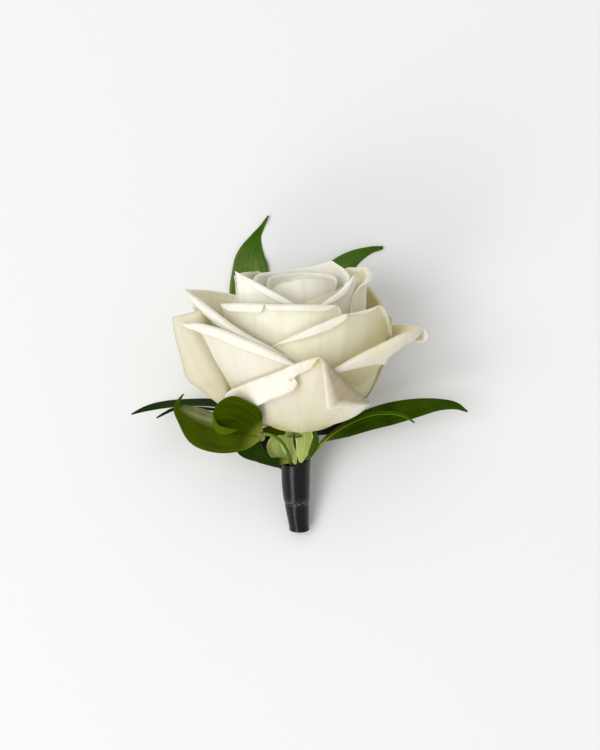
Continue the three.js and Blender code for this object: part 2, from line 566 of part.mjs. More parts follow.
function rightSprig() {
  const twig = stem([[0.9, TWIG_END, 1.8, TWIG_RADIUS], [0.9, -14, 1.8, TWIG_RADIUS],
    [1, -11.2, 1.9, TWIG_RADIUS], [1.35, -9.8, 2.1, TWIG_RADIUS], [3.4, -7.6, 2.6, TWIG_RADIUS],
    [6.6, -4, 3.1, 0.6]], 2, TWIG_SIDES);
  const second = stem([[1.2, -10.5, 2, 0.4], [3, -8.6, 1.4, TWIG_RADIUS], [5, -6.6, -0.4, TWIG_RADIUS],
    [7.8, -4.2, -2.6, 0.6]], 2, TWIG_SIDES);
  return joined([twig, second, leaf(LEAF_RIGHT), leaf(LEAF_RIGHT_EDGE)]);
}

// The rose's stem, its hip and the five reflexed sepals, all one green growth

const SEPALS = [
  [[-2.2, -2.6, 0.8, 1.4, 1.4, 0, 0], [-5.4, -2.9, 1.6, 2.2, 2.2, 0, -8], [-7.2, -5.4, 2, 2.9, 2.9, 0, -10],
    [-6.4, -8.2, 2.2, 2.1, 2.1, 0, -6], [-4.9, -10, 2.4, 0.4, 0.4, 0, 0]],
  [[-1.8, -2.2, 1.8, 1.8, 1.8, 0, 0], [-3.6, -1.6, 3.8, 2.2, 2.2, 0, -8],
    [-3.2, -4.4, 4.4, 1.7, 1.7, 0, -12], [-1.8, -7, 4, 1.1, 1.1, 0, -10], [-0.9, -9, 3.7, 0.3, 0.3, 0, 0]],
  [[0.2, -2.2, 2, 2, 2, 0, 0], [0.7, -1.4, 4.2, 2.5, 2.5, 0, -6], [0.6, -4, 4.8, 1.8, 1.8, 0, -12],
    [0.1, -6.6, 4.4, 1, 1, 0, -10], [-0.2, -8.4, 3.9, 0.3, 0.3, 0, 0]],
  [[2, -2.2, 1, 1.2, 1.2, 0, 0], [3.8, -1.5, 3.6, 1.6, 1.6, 0, -8], [4.1, -4, 4.4, 1.4, 1.4, 0, -8],
    [3.4, -6.4, 4.4, 0.9, 0.9, 0, -8], [2.7, -8.2, 4.2, 0.3, 0.3, 0, 0]],
  [[-0.4, -2.2, -2, 1.4, 1.4, 180, 0], [0.4, -1.6, -3.6, 1.6, 1.6, 180, 0],
    [1.4, -3.4, -4.2, 0.9, 0.9, 180, 0], [1.9, -5.2, -4, 0.3, 0.3, 180, 0]],
];

// What the petals need free under the bloom, with the clearance between touching pieces
const UNDER_BLOOM = [[0, -0.5], [3.6, -0.5], [9, 0.6], [14, 3.2], [20, 7], [20, 20], [0, 20]];

function roseStem() {
  const hipTop = BLOOM_FLOOR - CLEARANCE;
  const body = stem([[0, hipTop, 0, HIP_RADIUS], [0, -2, 0, HIP_RADIUS], [-0.1, -4, 0, 2.7],
    [-0.3, -6.4, 0, 1.8], [-0.5, -9, 0, STEM_RADIUS], [STEM_BEND_X, -13, 0, STEM_RADIUS],
    [STEM_BEND_X, -22, 0, STEM_RADIUS], [STEM_BEND_X, -30.6, 0, STEM_RADIUS]], 1, 14);
  const room = new THREE.LatheGeometry(UNDER_BLOOM.map(([r, h]) => new THREE.Vector2(r, h)), CORE_SIDES);
  return joined([body, ...SEPALS.map((rows) => leaf(rows))]).subtract(solidOfGeometry(room));
}

// Black ribbon: the tapering sleeve wound round the stems, closed at the foot, and the loose tail of the
// same ribbon behind the hip

function wrapRing([height, centre, radius], inset, raise, topRise = () => 0) {
  const points = [];
  for (let k = 0; k < WRAP_SIDES; k += 1) {
    const azimuth = (360 * k) / WRAP_SIDES;
    points.push(polar(azimuth, radius - inset, height + raise + topRise(azimuth)).add(vec(centre, 0, 0)));
  }
  return points;
}

// The upper edge runs low at the front left and steps up to a point where the ribbon's end is tucked in.
// Azimuths in degrees, drops in millimetres.
const EDGE_FRONT_LEFT = -100;
const EDGE_FRONT_RIGHT = 110;
const EDGE_STEP_TURN = 30;
const EDGE_FRONT_DROP = 1.3;
const EDGE_BACK_DROP = 0.7;

function edgeRise(azimuth) {
  const turned = azimuth > 180 ? azimuth - 360 : azimuth;
  if (turned < EDGE_FRONT_LEFT || turned > EDGE_FRONT_RIGHT) return -EDGE_BACK_DROP;
  return EDGE_FRONT_DROP * (THREE.MathUtils.clamp(turned / EDGE_STEP_TURN, 0, 1) - 1);
}

function ribbonWrap() {
  const rings = [
    wrapRing(WRAP_FOOT, WRAP_ROUNDING, 0),
    wrapRing(WRAP_FOOT, 0, WRAP_ROUNDING),
    ...WRAP_MIDDLE.map((ring) => wrapRing(ring, 0, 0)),
    wrapRing(WRAP_TOP, 0, 0, edgeRise),
    wrapRing(WRAP_TOP, WRAP_WALL, 0, edgeRise),
    ...WRAP_MIDDLE.map((ring) => wrapRing(ring, WRAP_WALL, 0)).reverse(),
    wrapRing(WRAP_FOOT, WRAP_WALL, WRAP_FLOOR),
  ];
  const points = rings.flat();
  const triangles = [];
  for (let i = 0; i < rings.length - 1; i += 1) {
    for (let k = 0; k < WRAP_SIDES; k += 1) {
      const a = i * WRAP_SIDES + k;
      const b = i * WRAP_SIDES + ((k + 1) % WRAP_SIDES);
      triangles.push(a, b, b + WRAP_SIDES, a, b + WRAP_SIDES, a + WRAP_SIDES);
    }
  }
  const inside = (rings.length - 1) * WRAP_SIDES;
  for (let k = 1; k < WRAP_SIDES - 1; k += 1) {
    triangles.push(0, k + 1, k);
    triangles.push(inside, inside + k, inside + k + 1);
  }
  return solidFrom(points, triangles);
}

// The tail's rows: x, lower and upper edge, depth
const TAIL = [
  [-13, -11, -9.4, -3], [-12, -11.4, -6.4, -3], [-10.8, -11.8, -4.4, -3.2], [-8.6, -12.4, -3.6, -3.2],
  [-6.4, -13, -3, -2.8], [-5.4, -13.2, -2.8, -3.2], [-4.5, -5.6, -2.4, -4.2], [-3, -4.8, -1.6, -5.2],
  [0, -4.4, -1.2, -5.9], [4, -4.2, -1, -6.2], [8, -4, -0.4, -6.4], [12, -4.5, 0.2, -6.7],
  [15.2, -4.8, 0.4, -7],
];

function ribbonTail() {
  const grid = TAIL.map(([x, low, high, z]) => [low, (low + high) / 2, high].map((y) => vec(x, y, z)));
  return blade(grid, TAIL_THICKNESS);
}

// The whole flower, laid down

const lying = new THREE.Group();
lying.rotation.x = LIE_TILT * RAD;
lying.position.set(SHIFT_X, SHIFT_Y, LIFT);

function addPiece(name, solid, look) {
  const mesh = new THREE.Mesh(outerShell(solid), new THREE.MeshStandardMaterial(look));
  mesh.name = name;
  lying.add(mesh);
}

const table = tableBlock(lying);
addPiece('rose_bloom', roseBloom(), PETAL_WHITE);
addPiece('rose_stem', roseStem(), SEPAL_GREEN);
addPiece('ruscus_sprig_back', backSprig().subtract(table), LEAF_GREEN);
addPiece('ruscus_sprig_left', leftSprig(), LEAF_GREEN);
addPiece('ruscus_sprig_right', rightSprig(), LEAF_GREEN);
addPiece('ribbon_wrap', ribbonWrap().subtract(table), SATIN_BLACK);
addPiece('ribbon_tail', ribbonTail(), SATIN_BLACK);

export default lying;
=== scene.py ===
"""A white rose boutonniere: an open rose on a short stem bound in black satin ribbon, with sprigs of
pointed ruscus leaves, lying on its back on a pale table and seen from above.

Shapes are described upright in the flower's own frame, in millimetres: x to the right, y up along the stem
from the top of the hip, z out of the front of the flower. An azimuth is measured round the stem in degrees,
0 at the front and positive to the right. laid() then lays them down in the row frame, in metres.
"""

import math

import bpy
import numpy as np
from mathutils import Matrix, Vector


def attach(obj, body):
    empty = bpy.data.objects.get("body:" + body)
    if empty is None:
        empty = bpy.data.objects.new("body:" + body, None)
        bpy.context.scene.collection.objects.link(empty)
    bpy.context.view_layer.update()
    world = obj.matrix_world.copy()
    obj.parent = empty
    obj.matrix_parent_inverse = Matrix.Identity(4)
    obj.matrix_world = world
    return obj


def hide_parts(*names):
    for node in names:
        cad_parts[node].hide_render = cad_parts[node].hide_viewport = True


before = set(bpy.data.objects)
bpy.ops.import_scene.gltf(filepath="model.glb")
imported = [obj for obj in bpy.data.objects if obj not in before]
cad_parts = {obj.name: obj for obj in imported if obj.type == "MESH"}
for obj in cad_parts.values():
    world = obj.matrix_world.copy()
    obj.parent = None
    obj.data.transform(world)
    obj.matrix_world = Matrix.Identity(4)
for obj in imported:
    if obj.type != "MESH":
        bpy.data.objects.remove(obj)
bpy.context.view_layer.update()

MM = 0.001

# How the flower lies: how steeply its stem rises to the bloom, and where its hip's top is in the row frame
LIE_TILT = math.radians(25)
LIFT = 16.2
SHIFT_X = 0.2
SHIFT_Y = -19.7

PETAL_THICKNESS = 0.32
LEAF_THICKNESS = 0.4
TABLE_GAP = 0.02

# Points and rows


def unit(vectors):
    return vectors / np.maximum(np.linalg.norm(vectors, axis=-1, keepdims=True), 1e-9)


def polar(azimuth, radius, height):
    turn = np.radians(azimuth)
    return np.stack([radius * np.sin(turn), height + 0 * turn, radius * np.cos(turn)], axis=-1)


def bezier(a, b, c, d, t):
    s = 1 - t
    return a * s**3 + 3 * b * s * s * t + 3 * c * s * t * t + d * t**3


def catmull_rom(before, a, b, after, t):
    linear = (b - before) * t
    square = (2 * before - 5 * a + 4 * b - after) * t * t
    return 0.5 * (2 * a + linear + square + (3 * a - before - 3 * b + after) * t**3)


def smooth_rows(rows, steps):
    """A smooth run through rows of numbers. A row given twice running is a corner."""
    rows = [np.array(row, float) for row in rows]
    made = [rows[0]]
    for i in range(len(rows) - 1):
        a, b = rows[i], rows[i + 1]
        if np.allclose(a, b):
            continue
        before = rows[i - 1] if i > 0 else 2 * a - b
        after = rows[i + 2] if i + 2 < len(rows) else 2 * b - a
        made += [catmull_rom(before, a, b, after, k / steps) for k in range(1, steps + 1)]
    return np.array(made)


def over_grid(rows, columns):
    """Each row's value and each column's value, spread over the grid that they span."""
    return np.meshgrid(rows, columns, indexing="ij")


def laid_direction(vectors):
    x, y, z = np.moveaxis(np.asarray(vectors, float), -1, 0)
    cosine, sine = math.cos(LIE_TILT), math.sin(LIE_TILT)
    return np.stack([x, y * cosine - z * sine, y * sine + z * cosine], axis=-1)


def laid(points):
    """From the flower's own frame, in millimetres, to the row frame, in metres."""
    return (laid_direction(points) + [SHIFT_X, SHIFT_Y, LIFT]) * MM


def ripple(along, across, seed, waves=4):
    """A smooth random wave over a surface, about -1 to 1."""
    draw = np.random.default_rng(seed)
    total = 0 * along * across
    for k in range(1, waves + 1):
        phase = draw.uniform(0, 2 * math.pi, 2)
        total = total + np.sin(k * across + phase[0]) * np.cos(0.8 * k * along + phase[1]) / k
    return total / 1.6


# Meshes


def link_mesh(name, points, faces, attributes, material, node):
    mesh = bpy.data.meshes.new(name)
    mesh.from_pydata(points.tolist(), [], faces)
    mesh.polygons.foreach_set("use_smooth", [True] * len(faces))
    for label, values in attributes.items():
        layer = mesh.attributes.new(label, "FLOAT", "POINT")
        layer.data.foreach_set("value", np.asarray(values, np.float32).ravel())
    mesh.materials.append(material)
    piece = bpy.data.objects.new(name, mesh)
    bpy.context.scene.collection.objects.link(piece)
    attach(piece, "root")
    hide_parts(node)
    return piece


def blade(name, grid, thickness, attributes, material, node):
    """A closed thin piece, from a grid of points in the flower's frame and its thickness at each. It has an
    upper side, a lower side and a rim between them."""
    rows, columns = grid.shape[:2]
    normal = unit(np.cross(np.gradient(grid, axis=0), np.gradient(grid, axis=1)))
    half = (thickness * np.ones((rows, columns)) / 2)[..., None] * MM
    middle = laid(grid)
    middle[..., 2] = np.maximum(middle[..., 2], half[..., 0] + TABLE_GAP * MM)
    offset = laid_direction(normal) * half
    points = np.concatenate([(middle + offset).reshape(-1, 3), (middle - offset).reshape(-1, 3)])
    under = rows * columns
    index = np.arange(under).reshape(rows, columns)
    upper = np.stack([index[:-1, :-1], index[1:, :-1], index[1:, 1:], index[:-1, 1:]], axis=-1).reshape(-1, 4)
    lower = upper[:, [0, 3, 2, 1]] + under
    faces = np.concatenate([upper, lower]).tolist()
    rim = [*index[:-1, 0], *index[-1, :-1], *index[:0:-1, -1], *index[0, :0:-1]]
    faces += [(b, a, a + under, b + under) for a, b in zip(rim, rim[1:] + rim[:1])]
    both = {label: np.concatenate([np.ravel(v), np.ravel(v)]) for label, v in attributes.items()}
    both["side"] = np.repeat([1.0, 0.0], under)
    return link_mesh(name, points, faces, both, material, node)


def ringed(name, rings, attributes, material, node):
    """A closed body from rings of points, its first and last ring filled in."""
    count, sides = rings.shape[:2]
    points = laid(rings.reshape(-1, 3))
    points[:, 2] = np.maximum(points[:, 2], TABLE_GAP * MM)
    faces = []
    for i in range(count - 1):
        for k in range(sides):
            a, b = i * sides + k, i * sides + (k + 1) % sides
            faces.append((a, b, b + sides, a + sides))
    faces.append(tuple(reversed(range(sides))))
    faces.append(tuple((count - 1) * sides + k for k in range(sides)))
    return link_mesh(name, points, faces, attributes, material, node)


WOBBLE_PACE = 0.45


def tube(name, rows, material, node, steps, sides, wobble, seed):
    """A round stem through rows, each a point and a radius."""
    path = smooth_rows(rows, steps)
    places = path[:, :3]
    ahead = unit(np.gradient(places, axis=0))
    side = np.array([1.0, 0.0, 0.0])
    rings = []
    turn = 2 * math.pi * np.arange(sides) / sides
    for i, place in enumerate(places):
        side = unit(side - ahead[i] * np.dot(side, ahead[i]))
        other = np.cross(ahead[i], side)
        swell = 1 + wobble * ripple(np.full(sides, i * WOBBLE_PACE), turn, seed)
        radius = (path[i, 3] * swell)[:, None]
        rings.append(place + radius * (np.cos(turn)[:, None] * side + np.sin(turn)[:, None] * other))
    rings = np.array(rings)
    along, across = over_grid(np.linspace(0, 1, len(places)), turn)
    return ringed(name, rings, {"along": along, "across": across}, material, node)


# Materials


def new_material(name):
    material = bpy.data.materials.new(name)
    material.use_nodes = True
    return material, material.node_tree


def put(tree, node, inputs):
    """Sets a node's inputs, each to another node's output, to a colour without its alpha or to a value."""
    for key, value in inputs.items():
        socket = node.inputs[key]
        if isinstance(value, bpy.types.NodeSocket):
            tree.links.new(value, socket)
        elif isinstance(value, tuple) and len(value) < len(socket.default_value):
            socket.default_value = (*value, 1)
        else:
            socket.default_value = value


def add(tree, kind, inputs, **settings):
    node = tree.nodes.new("ShaderNode" + kind)
    for key, value in settings.items():
        setattr(node, key, value)
    put(tree, node, inputs)
    return node


def attribute(tree, name):
    return add(tree, "Attribute", {}, attribute_name=name).outputs["Fac"]


def maths(tree, operation, a, b=0.0):
    return add(tree, "Math", {0: a, 1: b}, operation=operation).outputs[0]


def plus(tree, a, b):
    return maths(tree, "ADD", a, b)


def times(tree, product, *factors):
    for factor in factors:
        product = maths(tree, "MULTIPLY", product, factor)
    return product


def mixed(tree, factor, a, b, blend="MIX"):
    inputs = {0: factor, 6: a, 7: b}
    return add(tree, "Mix", inputs, data_type="RGBA", blend_type=blend).outputs[2]


def ramp(tree, value, stops):
    """A value turned into a colour by stops, each a position and a colour."""
    node = add(tree, "ValToRGB", {"Fac": value})
    elements = node.color_ramp.elements
    while len(elements) < len(stops):
        elements.new(0.5)
    for element, (position, colour) in zip(elements, stops):
        element.position = position
        element.color = (*colour, 1)
    return node.outputs["Color"]


def shows(tree, value, start, full, most=1.0):
    """How much something shows: not at all where the value is at the start, the most where it is at full. The
    start may be the higher of the two."""
    inputs = {"Value": value, "From Min": start, "From Max": full, "To Max": most}
    return add(tree, "MapRange", inputs, clamp=True).outputs["Result"]


def cover(tree, colour, value, span, tint, blend="MIX"):
    """The colour, covered by a tint where the value shows."""
    return mixed(tree, shows(tree, value, *span), colour, tint, blend)


def object_place(tree):
    return add(tree, "TexCoord", {}).outputs["Object"]


def noise(tree, vector, scale, detail, rough):
    inputs = {"Vector": vector, "Scale": scale, "Detail": detail, "Roughness": rough}
    return add(tree, "TexNoise", inputs).outputs["Fac"]


def grown(tree, across_scale, along_scale, detail, rough):
    """A pattern that runs with the piece: across it, and along it from its base."""
    across = times(tree, attribute(tree, "across"), across_scale)
    along = times(tree, attribute(tree, "along"), along_scale)
    place = add(tree, "CombineXYZ", {"X": across, "Y": along})
    return noise(tree, place.outputs["Vector"], 1.0, detail, rough)


def scattered(tree, scale, detail, rough):
    """A pattern spread through the object, whichever way a piece runs."""
    return noise(tree, object_place(tree), scale, detail, rough)


def set_surface(tree, inputs, height, strength, depth):
    """Sets the surface, with a bump from a height pattern, a strength and a depth in metres."""
    bump = add(tree, "Bump", {"Strength": strength, "Distance": depth, "Height": height})
    put(tree, tree.nodes["Principled BSDF"], inputs | {"Normal": bump.outputs["Normal"]})


# Patterns that run with a piece: how fine they are across it and along it, their detail and roughness
VEINS = (1.3, 0.9, 4.0, 0.6)
FINE_VEINS = (3.6, 1.2, 2.0, 0.5)
# Painted shade of shallow pleats, in broad bands
PLEAT_SHADE = (0.32, 0.12, 2.0, 0.5)
LEAF_VEINS = (16.0, 1.6, 4.0, 0.6)
STEM_STREAKS = (3.0, 2.0, 4.0, 0.6)
WEAVE = (60.0, 9.0, 2.0, 0.6)
SLUBS = (8.0, 2.0, 4.0, 0.6)

# Patterns spread through the object: how fine they are, their detail and roughness
MOTTLE = (90.0, 3.0, 0.55)
SPECKS = (1500.0, 2.0, 0.7)
LEAF_PATCHES = (120.0, 3.0, 0.5)
SATIN_GRAIN = (1900.0, 2.0, 0.6)
FRAYED_THREADS = (2600.0, 3.0, 0.8)

# Petals: where each pattern starts to show and shows fully, how much then, and its colour
MOTTLE_RANGE = (0.45, 0.75)
VEIN_RANGE = (0.46, 0.66, 0.58)
VEIN_TINT = (0.93, 0.91, 0.8)
# Painted shade of shallow pleats: its range, how much, and its colour
PLEAT_SHADE_RANGE = (0.48, 0.62, 0.45)
PLEAT_SHADE_TINT = (0.93, 0.9, 0.82)
EDGE_RANGE = (0.82, 1.0, 0.5)
EDGE_TINT = (0.83, 0.76, 0.5)
# Painted shade on the low petal's right flap: where it starts past the fold, where it fades at the free edge,
# and its paler and deeper colours
FLAP_START = (1.02, 1.1)
FLAP_END = (1.98, 1.6, 0.93)
FLAP_SHADE_RANGE = (0.3, 0.65)
FLAP_SHADE_PALE = (0.42, 0.35, 0.24)
FLAP_SHADE_DEEP = (0.27, 0.22, 0.13)
SPECK_RANGE = (0.64, 0.7)
SPECK_BAND = (0.45, 0.9)
SPECK_TINT = (0.55, 0.36, 0.14)
MARK_CORE = 0.2
MARK_STRENGTH = 0.7
PETAL_SURFACE = {
    "Roughness": 0.52, "Specular IOR Level": 0.35, "Sheen Weight": 0.08,
    "Subsurface Weight": 0.35, "Subsurface Radius": (1.0, 0.85, 0.5), "Subsurface Scale": 0.0016,
}
PETAL_BUMP = (0.35, 0.0003)


def shade_flap(tree, colour, along, edge, pattern, flap_shade_and_specks):
    """Painted shade on the low petal's right flap, which is turned from the light, and brown specks along its
    margin.
    """
    start, end = shows(tree, along, *FLAP_START), shows(tree, along, *FLAP_END)
    flap = times(tree, attribute(tree, "right"), start, end)
    shade = cover(tree, FLAP_SHADE_PALE, pattern, FLAP_SHADE_RANGE, FLAP_SHADE_DEEP)
    colour = mixed(tree, flap, colour, shade)
    specks = shows(tree, scattered(tree, *SPECKS), *SPECK_RANGE)
    return mixed(tree, times(tree, specks, shows(tree, edge, *SPECK_BAND), flap_shade_and_specks), colour, SPECK_TINT)


def petal_material(name, base, body, margin, blush, flap_shade_and_specks=0.0, marks_and_shadow=()):
    """Petal tissue: greener at the base, fine veins fanning up it, painted shade in broad bands for shallow
    pleats, and a thin warmer edge. The low petal also gets painted shade on its flap and painted shadow among
    its marks.
    """
    material, tree = new_material(name)
    along, edge = attribute(tree, "along"), attribute(tree, "edge")
    stops = [(0.0, base), (0.2, base), (0.42, body), (0.5, body), (0.7, margin), (1.0, margin)]
    colour = ramp(tree, times(tree, along, 0.5), stops)
    colour = cover(tree, colour, scattered(tree, *MOTTLE), MOTTLE_RANGE, blush)
    veins, fine = grown(tree, *VEINS), grown(tree, *FINE_VEINS)
    pattern = plus(tree, times(tree, veins, 0.55), times(tree, fine, 0.45))
    colour = cover(tree, colour, pattern, VEIN_RANGE, VEIN_TINT, "MULTIPLY")
    # Painted shade in broad bands, for shallow pleats
    colour = cover(tree, colour, grown(tree, *PLEAT_SHADE), PLEAT_SHADE_RANGE, PLEAT_SHADE_TINT, "MULTIPLY")
    colour = cover(tree, colour, edge, EDGE_RANGE, EDGE_TINT)
    # Painted shade on the low petal's flap, and the specks on its margin
    if flap_shade_and_specks:
        colour = shade_flap(tree, colour, along, edge, pattern, flap_shade_and_specks)
    # Marks, and on the low petal painted shadow, each strongest at its place
    for place, reach, tint in marks_and_shadow:
        ends = {0: object_place(tree), 1: tuple(laid(place))}
        apart = add(tree, "VectorMath", ends, operation="DISTANCE").outputs["Value"]
        colour = cover(tree, colour, apart, (reach, MARK_CORE * reach, MARK_STRENGTH), tint)
    set_surface(tree, PETAL_SURFACE | {"Base Color": colour}, pattern, *PETAL_BUMP)
    return material


# Leaves: where each pattern starts to show and shows fully, how much then, and its colour
LEAF_TONE_RANGE = (0.38, 0.66)
MIDRIB_RANGE = (0.06, 0.0, 0.3)
MIDRIB_LIGHTER = 1.6
UNDERSIDE_RANGE = (0.9, 0.1)
RIM_RANGE = (0.95, 1.0, 0.4)
RIM_LIGHTER = 1.5
PALE_MARGIN_RANGE = (0.72, 1.0)
PALE_BASE_RANGE = (0.16, 0.0)
PALE_BASE = (0.32, 0.36, 0.045)
# Painted reflection: a pale sheen on the blade in place of its gloss, where it starts along the blade, the
# tone it shows in, and how it fades along and across
PAINTED_SHEEN_TINT = (0.5, 0.53, 0.25)
SHEEN_START = (0.12, 0.3)
SHEEN_TONE_RANGE = (0.3, 0.6)
SHEEN_FADE_ALONG = 0.27
SHEEN_FADE_ACROSS = 0.4
RIB_GROOVE = (0.1, 0.0, 0.8)
LEAF_ROUGHNESS_SPREAD = 0.16
LEAF_SURFACE = {
    "Subsurface Weight": 0.08, "Subsurface Radius": (0.35, 0.8, 0.15), "Subsurface Scale": 0.0008,
}
LEAF_BUMP = (0.25, 0.00015)


def leaf_material(name, dark, light, under, roughness, gloss, painted_sheen=0.0, sheen_from=0.05, sheen_to=0.72,
                  pale_margin=0.0, pale_base=0.8):
    """A waxy leaf: a pale midrib, fine veins side by side along the blade, and a lighter underside. A pale
    sheen, a painted reflection standing in for the blade's gloss, runs from a place across it and up to a
    place along it."""
    material, tree = new_material(name)
    across, along = attribute(tree, "across"), attribute(tree, "along")
    from_midrib = maths(tree, "ABSOLUTE", across)
    veins = grown(tree, *LEAF_VEINS)
    tone = plus(tree, times(tree, veins, 0.65), times(tree, scattered(tree, *LEAF_PATCHES), 0.35))
    midrib, rim = [tuple(c * lighter for c in light) for lighter in (MIDRIB_LIGHTER, RIM_LIGHTER)]
    colour = cover(tree, dark, tone, LEAF_TONE_RANGE, light)
    colour = cover(tree, colour, from_midrib, MIDRIB_RANGE, midrib)
    colour = cover(tree, colour, attribute(tree, "side"), UNDERSIDE_RANGE, under)
    colour = cover(tree, colour, from_midrib, RIM_RANGE, rim)
    # Painted reflection: a pale sheen over part of the blade
    if painted_sheen:
        lengthwise = shows(tree, along, sheen_to, sheen_to - SHEEN_FADE_ALONG)
        sideways = shows(tree, across, sheen_from, sheen_from + SHEEN_FADE_ACROSS)
        patchy = shows(tree, tone, *SHEEN_TONE_RANGE)
        amount = times(tree, shows(tree, along, *SHEEN_START), lengthwise, sideways, patchy, painted_sheen)
        colour = mixed(tree, amount, colour, PAINTED_SHEEN_TINT)
    if pale_margin:
        colour = cover(tree, colour, from_midrib, (*PALE_MARGIN_RANGE, pale_margin), rim)
    colour = cover(tree, colour, along, (*PALE_BASE_RANGE, pale_base), PALE_BASE)
    least = roughness - LEAF_ROUGHNESS_SPREAD / 2
    rough = plus(tree, times(tree, tone, LEAF_ROUGHNESS_SPREAD), least)
    height = maths(tree, "SUBTRACT", veins, shows(tree, from_midrib, *RIB_GROOVE))
    inputs = {"Base Color": colour, "Roughness": rough, "Specular IOR Level": gloss}
    set_surface(tree, LEAF_SURFACE | inputs, height, *LEAF_BUMP)
    return material


# Stems and twigs
STEM_TONE_RANGE = (0.35, 0.65)
STEM_TIP_RANGE = (0.75, 1.0)
STEM_SURFACE = {"Roughness": 0.42, "Specular IOR Level": 0.15}
STEM_BUMP = (0.3, 0.0002)


def stem_material(name, dark, light, tip):
    """A green stem: lengthwise streaks, and a change of colour towards its tip."""
    material, tree = new_material(name)
    streaks = grown(tree, *STEM_STREAKS)
    colour = cover(tree, dark, streaks, STEM_TONE_RANGE, light)
    colour = cover(tree, colour, attribute(tree, "along"), STEM_TIP_RANGE, tip)
    set_surface(tree, STEM_SURFACE | {"Base Color": colour}, streaks, *STEM_BUMP)
    return material


# Black satin
SATIN_TONE_RANGE = (0.4, 0.62)
SATIN_LEAST_ROUGHNESS = 0.14
SLUB_ROUGHNESS = 0.26
THREAD_RANGE = (0.54, 0.62)
THREAD_TINT = (0.24, 0.23, 0.23)
THREAD_ROUGHNESS = 0.4
WEAVE_HEIGHT = 0.4
SATIN_SURFACE = {"Specular IOR Level": 0.3, "Anisotropic": 0.2}
SATIN_BUMP = (0.2, 0.00006)


def satin_material(name, colour, lift, frayed=False):
    """Satin: a fine weave whose highlight is drawn out to suit a ribbon wound round the stem, and pale
    threads where its end has frayed."""
    material, tree = new_material(name)
    slubs, grain = grown(tree, *SLUBS), scattered(tree, *SATIN_GRAIN)
    tone = times(tree, plus(tree, slubs, grain), 0.5)
    shade = cover(tree, colour, tone, SATIN_TONE_RANGE, lift)
    rough = plus(tree, times(tree, slubs, SLUB_ROUGHNESS), SATIN_LEAST_ROUGHNESS)
    if frayed:
        threads = shows(tree, scattered(tree, *FRAYED_THREADS), *THREAD_RANGE)
        amount = times(tree, threads, attribute(tree, "fray"))
        shade = mixed(tree, amount, shade, THREAD_TINT)
        rough = plus(tree, rough, times(tree, amount, THREAD_ROUGHNESS))
    stem_way = laid_direction((0.0, 1.0, 0.0))
    tangent = add(tree, "CombineXYZ", dict(zip("XYZ", map(float, stem_way))))
    height = plus(tree, grain, times(tree, grown(tree, *WEAVE), WEAVE_HEIGHT))
    inputs = {"Base Color": shade, "Roughness": rough, "Tangent": tangent.outputs["Vector"]}
    set_surface(tree, SATIN_SURFACE | inputs, height, *SATIN_BUMP)
    return material


GREEN_BASE = (0.6, 0.55, 0.19)
CREAM = (0.88, 0.84, 0.62)
WHITE = (0.9, 0.87, 0.73)
IVORY = (0.85, 0.81, 0.63)
BLUSH = (0.83, 0.74, 0.57)

# Petal colours: base, body, margin and blush
PETAL_COLOURS = {
    "inner": [(0.84, 0.78, 0.49), (0.95, 0.92, 0.8), (0.96, 0.94, 0.84), (0.95, 0.92, 0.81)],
    "middle": [GREEN_BASE, CREAM, WHITE, IVORY],
    "outer": [GREEN_BASE, IVORY, WHITE, (0.88, 0.82, 0.72)],
    "low": [(0.66, 0.61, 0.36), (0.85, 0.79, 0.64), (0.93, 0.88, 0.76), BLUSH],
    "withered": [(0.82, 0.76, 0.46), (0.92, 0.88, 0.72), (0.9, 0.86, 0.72), (0.92, 0.88, 0.74)],
    "wide": [GREEN_BASE, (0.9, 0.87, 0.71), WHITE, IVORY],
    # Painted shade: the folded, right and back looks are darker copies for the folded petal on the left, the
    # right petal and the right back petal, which lie in shade
    "folded": [(0.44, 0.4, 0.18), (0.66, 0.61, 0.45), (0.72, 0.69, 0.58), (0.68, 0.62, 0.47)],
    "right": [GREEN_BASE, (0.76, 0.68, 0.42), (0.81, 0.76, 0.63), (0.8, 0.73, 0.54)],
    "back": [(0.44, 0.42, 0.18), (0.52, 0.48, 0.31), (0.66, 0.62, 0.46), (0.48, 0.43, 0.28)],
}

# Marks on petals, and painted shadow: the place, how far it reaches in metres, and its colour. The low petal
# has a greenish tip, a brown bruise by its notch and painted shadow from its flap below the notch, and the
# petal behind on the left has withered at its upper edge.
LOW_MARKS_AND_SHADOW = [
    ((4.9, 28.6, 30.2), 0.0032, (0.62, 0.58, 0.2)),
    ((-2.6, 22.4, 29.4), 0.0011, (0.6, 0.45, 0.22)),
    # Painted shadow cast by the flap, below the notch
    ((-0.8, 18.6, 27.4), 0.0045, (0.78, 0.67, 0.44)),
]
WITHERED_MARKS = [((-12.8, 45.4, -9.4), 0.0062, (0.4, 0.35, 0.27))]
# The low petal has painted shade on its flap, with specks, and painted shadow among its marks
PETAL_EXTRAS = {"low": dict(flap_shade_and_specks=0.8, marks_and_shadow=LOW_MARKS_AND_SHADOW), "withered": dict(marks_and_shadow=WITHERED_MARKS)}
PETAL_LOOKS = {
    name: petal_material(f"petal_{name}", *colours, **PETAL_EXTRAS.get(name, {}))
    for name, colours in PETAL_COLOURS.items()
}

